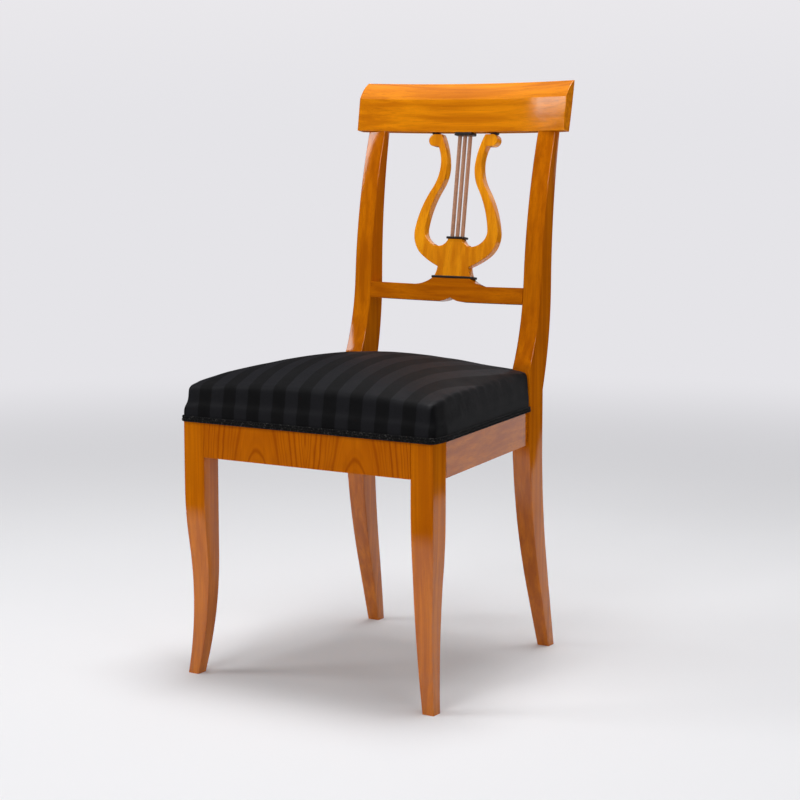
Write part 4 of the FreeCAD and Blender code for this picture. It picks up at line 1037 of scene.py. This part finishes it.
class CHAIR_OT_webbing(bpy.types.Operator):
    """Weave the webbing and sacking under the seat"""

    bl_idname = "chair.webbing"
    bl_label = "Weave the webbing"

    def execute(self, context):
        jute_pitch, sacking_pitch = 0.0022, 0.0016
        jute = woven(
            "jute_webbing", "jute webbing in a plain weave", srgb("#A07C4C"), jute_pitch
        )
        for name in STRAPS:
            form = copied(name)
            smooth_by_angle(form, 40)
            piece = as_piece(f"{name}_woven", form, jute, "jute_webbing", name)
        sacking = woven("hessian", "open jute sacking", srgb("#B4905C"), sacking_pitch)
        form = copied("seat_hessian")
        smooth_by_angle(form, 40)
        piece = as_piece("sacking", form, sacking, "hessian", "seat_hessian")
        return {"FINISHED"}


# Stage


def paper(look):
    """White studio paper, which fades into the backdrop far off. Beyond its edges the
    studio is dark in reflections only."""
    made, tree, shader = new_material("studio_paper", "matt white paper")
    # it shows an even white with the chair's soft shadow on it
    front_edge, front_end, edge_softness = -0.85, -1.05, 0.02
    fade_from, fade_to = 1.0, 4.0
    dark_room = (0.02, 0.02, 0.02, 1)
    spot = add(tree, "TexCoord").outputs["Object"]
    split = add(tree, "SeparateXYZ", (spot,))
    mottle = add(tree, "MapRange", (marks(tree, spot, (0.6, 0.6, 0.6), 2, 0.5), 0.3, 0.7))
    pale = add(tree, "Mix", (mottle, rgba(look.floor, 0.99), rgba(look.floor)), data_type="RGBA")
    glossy = add(tree, "LightPath").outputs["Is Glossy Ray"]
    before = add(tree, "MapRange", (split.outputs[Y], front_edge, front_end))
    aside = add(tree, "Math", (split.outputs[X],), operation="ABSOLUTE")
    half = look.paper / 2
    beside = add(tree, "MapRange", (aside, half, half + edge_softness))
    beyond = add(tree, "Math", (before, beside), operation="MAXIMUM")
    beyond = add(tree, "Math", (glossy, beyond), operation="MULTIPLY")
    shown = add(tree, "Mix", (beyond, pale, dark_room), data_type="RGBA")
    feed(tree, shader, Base_Color=shown, Roughness=0.9, Specular_IOR_Level=0.0)
    distance = add(tree, "VectorMath", (spot,), operation="LENGTH")
    far = add(
        tree, "MapRange", (distance, fade_from, fade_to), interpolation_type="SMOOTHSTEP"
    )
    within = add(tree, "Math", (1.0, beyond), operation="SUBTRACT")
    far = add(tree, "Math", (far, within), operation="MULTIPLY")
    glow = add(tree, "Emission", {"Color": rgba(look.distance), "Strength": 1.0})
    mix = add(tree, "MixShader", (far, shader, glow))
    out = next(n for n in tree.nodes if n.type == "OUTPUT_MATERIAL")
    connect(tree, out.inputs["Surface"], mix)
    return made


def studio_world(look):
    """Backdrop colour for the camera. Reflections see a white backdrop and a dark room."""
    dark_room = (0.02, 0.02, 0.022, 1)
    white_wall = (0.9, 0.9, 0.93, 1)
    plain_fill = (0.29, 0.29, 0.298, 1)
    world = bpy.data.worlds.new("studio")
    world.use_nodes = True
    bpy.context.scene.world = world
    tree = world.node_tree
    tree.nodes.clear()
    split = add(tree, "SeparateXYZ", (add(tree, "TexCoord").outputs["Generated"],))
    across, ahead, up = split.outputs
    slope = add(tree, "Math", (across, ahead), operation="DIVIDE")
    aside = add(tree, "Math", (slope,), operation="ABSOLUTE")
    behind = add(tree, "MapRange", (ahead, 0.0, 0.1))
    within = add(tree, "MapRange", (aside, 0.40, 0.44, 1.0, 0.0))
    back = add(tree, "Math", (behind, within), operation="MULTIPLY")
    above = add(tree, "MapRange", (up, 0.55, 0.9, 0.0, 0.5), interpolation_type="SMOOTHSTEP")
    level = add(tree, "Math", (back, above), operation="MAXIMUM")
    room = add(tree, "Mix", (level, dark_room, white_wall), data_type="RGBA")
    path = add(tree, "LightPath")
    fill = add(tree, "Mix", (path.outputs["Is Glossy Ray"], plain_fill, room), data_type="RGBA")
    height = add(tree, "MapRange", (up, 0.0, 0.12), interpolation_type="SMOOTHSTEP")
    wall = add(
        tree, "Mix", (height, rgba(look.distance), rgba(look.backdrop)), data_type="RGBA"
    )
    shown = add(tree, "Mix", (path.outputs["Is Camera Ray"], fill, wall), data_type="RGBA")
    glow = add(tree, "Background", {"Color": shown, "Strength": 1.0})
    add(tree, "OutputWorld", {"Surface": glow})


def area_light(name, size, power, spot, target):
    """A soft rectangular lamp that faces a point."""
    lamp = bpy.data.lights.new(name, "AREA")
    lamp.shape = "RECTANGLE"
    lamp.size, lamp.size_y = size
    lamp.energy = power
    holder = bpy.data.objects.new(name, lamp)
    holder.location = spot
    aim = Vector(target) - Vector(spot)
    holder.rotation_euler = aim.to_track_quat("-Z", "Y").to_euler()
    bpy.context.scene.collection.objects.link(holder)


class CHAIR_OT_stage(bpy.types.Operator):
    """Set up the floor, the lights and the camera"""

    bl_idname = "chair.stage"
    bl_label = "Set the stage"

    def execute(self, context):
        look = context.scene.chair_stage
        floor_reach = 30
        form = bmesh.new()
        bmesh.ops.create_grid(form, x_segments=8, y_segments=8, size=floor_reach)
        mesh = bpy.data.meshes.new("paper_floor")
        form.to_mesh(mesh)
        form.free()
        mesh.materials.append(paper(look))
        floor = bpy.data.objects.new("paper_floor", mesh)
        context.scene.collection.objects.link(floor)
        studio_world(look)
        # name, size, share of the key light's power, and place
        lights = (
            ("key", (1.3, 1.3), 1.0, (-2.9, -2.0, 2.5)),
            ("front", (1.2, 1.2), 0.9, (0.2, -3.4, 2.9)),
            ("side", (1.2, 1.2), 0.35, (3.3, -1.9, 2.5)),
            ("top", (1.5, 1.2), 1.75, (0.1, 0.2, 3.2)),
        )
        chair_middle = (0, 0, 0.45)
        for name, size, share, spot in lights:
            area_light(name, size, look.key * share, spot, chair_middle)
        # place, tilt and turn fitted to the photo
        camera_place = (1.66604, -2.62020, 0.83027)
        tilt, turn = math.radians(82.47), math.radians(32.24)
        eye = bpy.data.cameras.new("camera")
        eye.lens = 88.84
        eye.sensor_width = 36
        holder = bpy.data.objects.new("camera", eye)
        holder.location = camera_place
        holder.rotation_euler = (tilt, 0, turn)
        context.scene.collection.objects.link(holder)
        context.scene.camera = holder
        context.scene.view_settings.view_transform = "Standard"
        return {"FINISHED"}


class CHAIR_PT_panel(bpy.types.Panel):
    """Settings and steps of the chair's looks"""

    bl_idname = "CHAIR_PT_panel"
    bl_label = "Lyre back chair"
    bl_space_type = "VIEW_3D"
    bl_region_type = "UI"
    bl_category = "Chair"

    def draw(self, context):
        for group, steps in (
            (context.scene.chair_wood, (CHAIR_OT_frame, CHAIR_OT_lyre)),
            (context.scene.chair_cover, (CHAIR_OT_cover, CHAIR_OT_webbing)),
            (context.scene.chair_braid, (CHAIR_OT_braid,)),
            (context.scene.chair_stage, (CHAIR_OT_stage,)),
        ):
            box = self.layout.box()
            for name in group.__annotations__:
                box.prop(group, name)
            for step in steps:
                box.operator(step.bl_idname)


GROUPS = {
    "chair_wood": WoodLook,
    "chair_cover": CoverLook,
    "chair_braid": BraidLook,
    "chair_stage": StageLook,
}
STEPS = (
    CHAIR_OT_frame,
    CHAIR_OT_lyre,
    CHAIR_OT_cover,
    CHAIR_OT_braid,
    CHAIR_OT_webbing,
    CHAIR_OT_stage,
)


def register():
    for kind in (*GROUPS.values(), *STEPS, CHAIR_PT_panel):
        bpy.utils.register_class(kind)
    for name, kind in GROUPS.items():
        setattr(bpy.types.Scene, name, PointerProperty(type=kind))


def unregister():
    for name in GROUPS:
        delattr(bpy.types.Scene, name)
    for kind in (CHAIR_PT_panel, *reversed(STEPS), *reversed(GROUPS.values())):
        bpy.utils.unregister_class(kind)


def main():
    register()
    bpy.ops.chair.frame()
    bpy.ops.chair.lyre()
    bpy.ops.chair.cover()
    bpy.ops.chair.braid()
    bpy.ops.chair.webbing()
    bpy.ops.chair.stage()


if __name__ == "__main__":
    main()
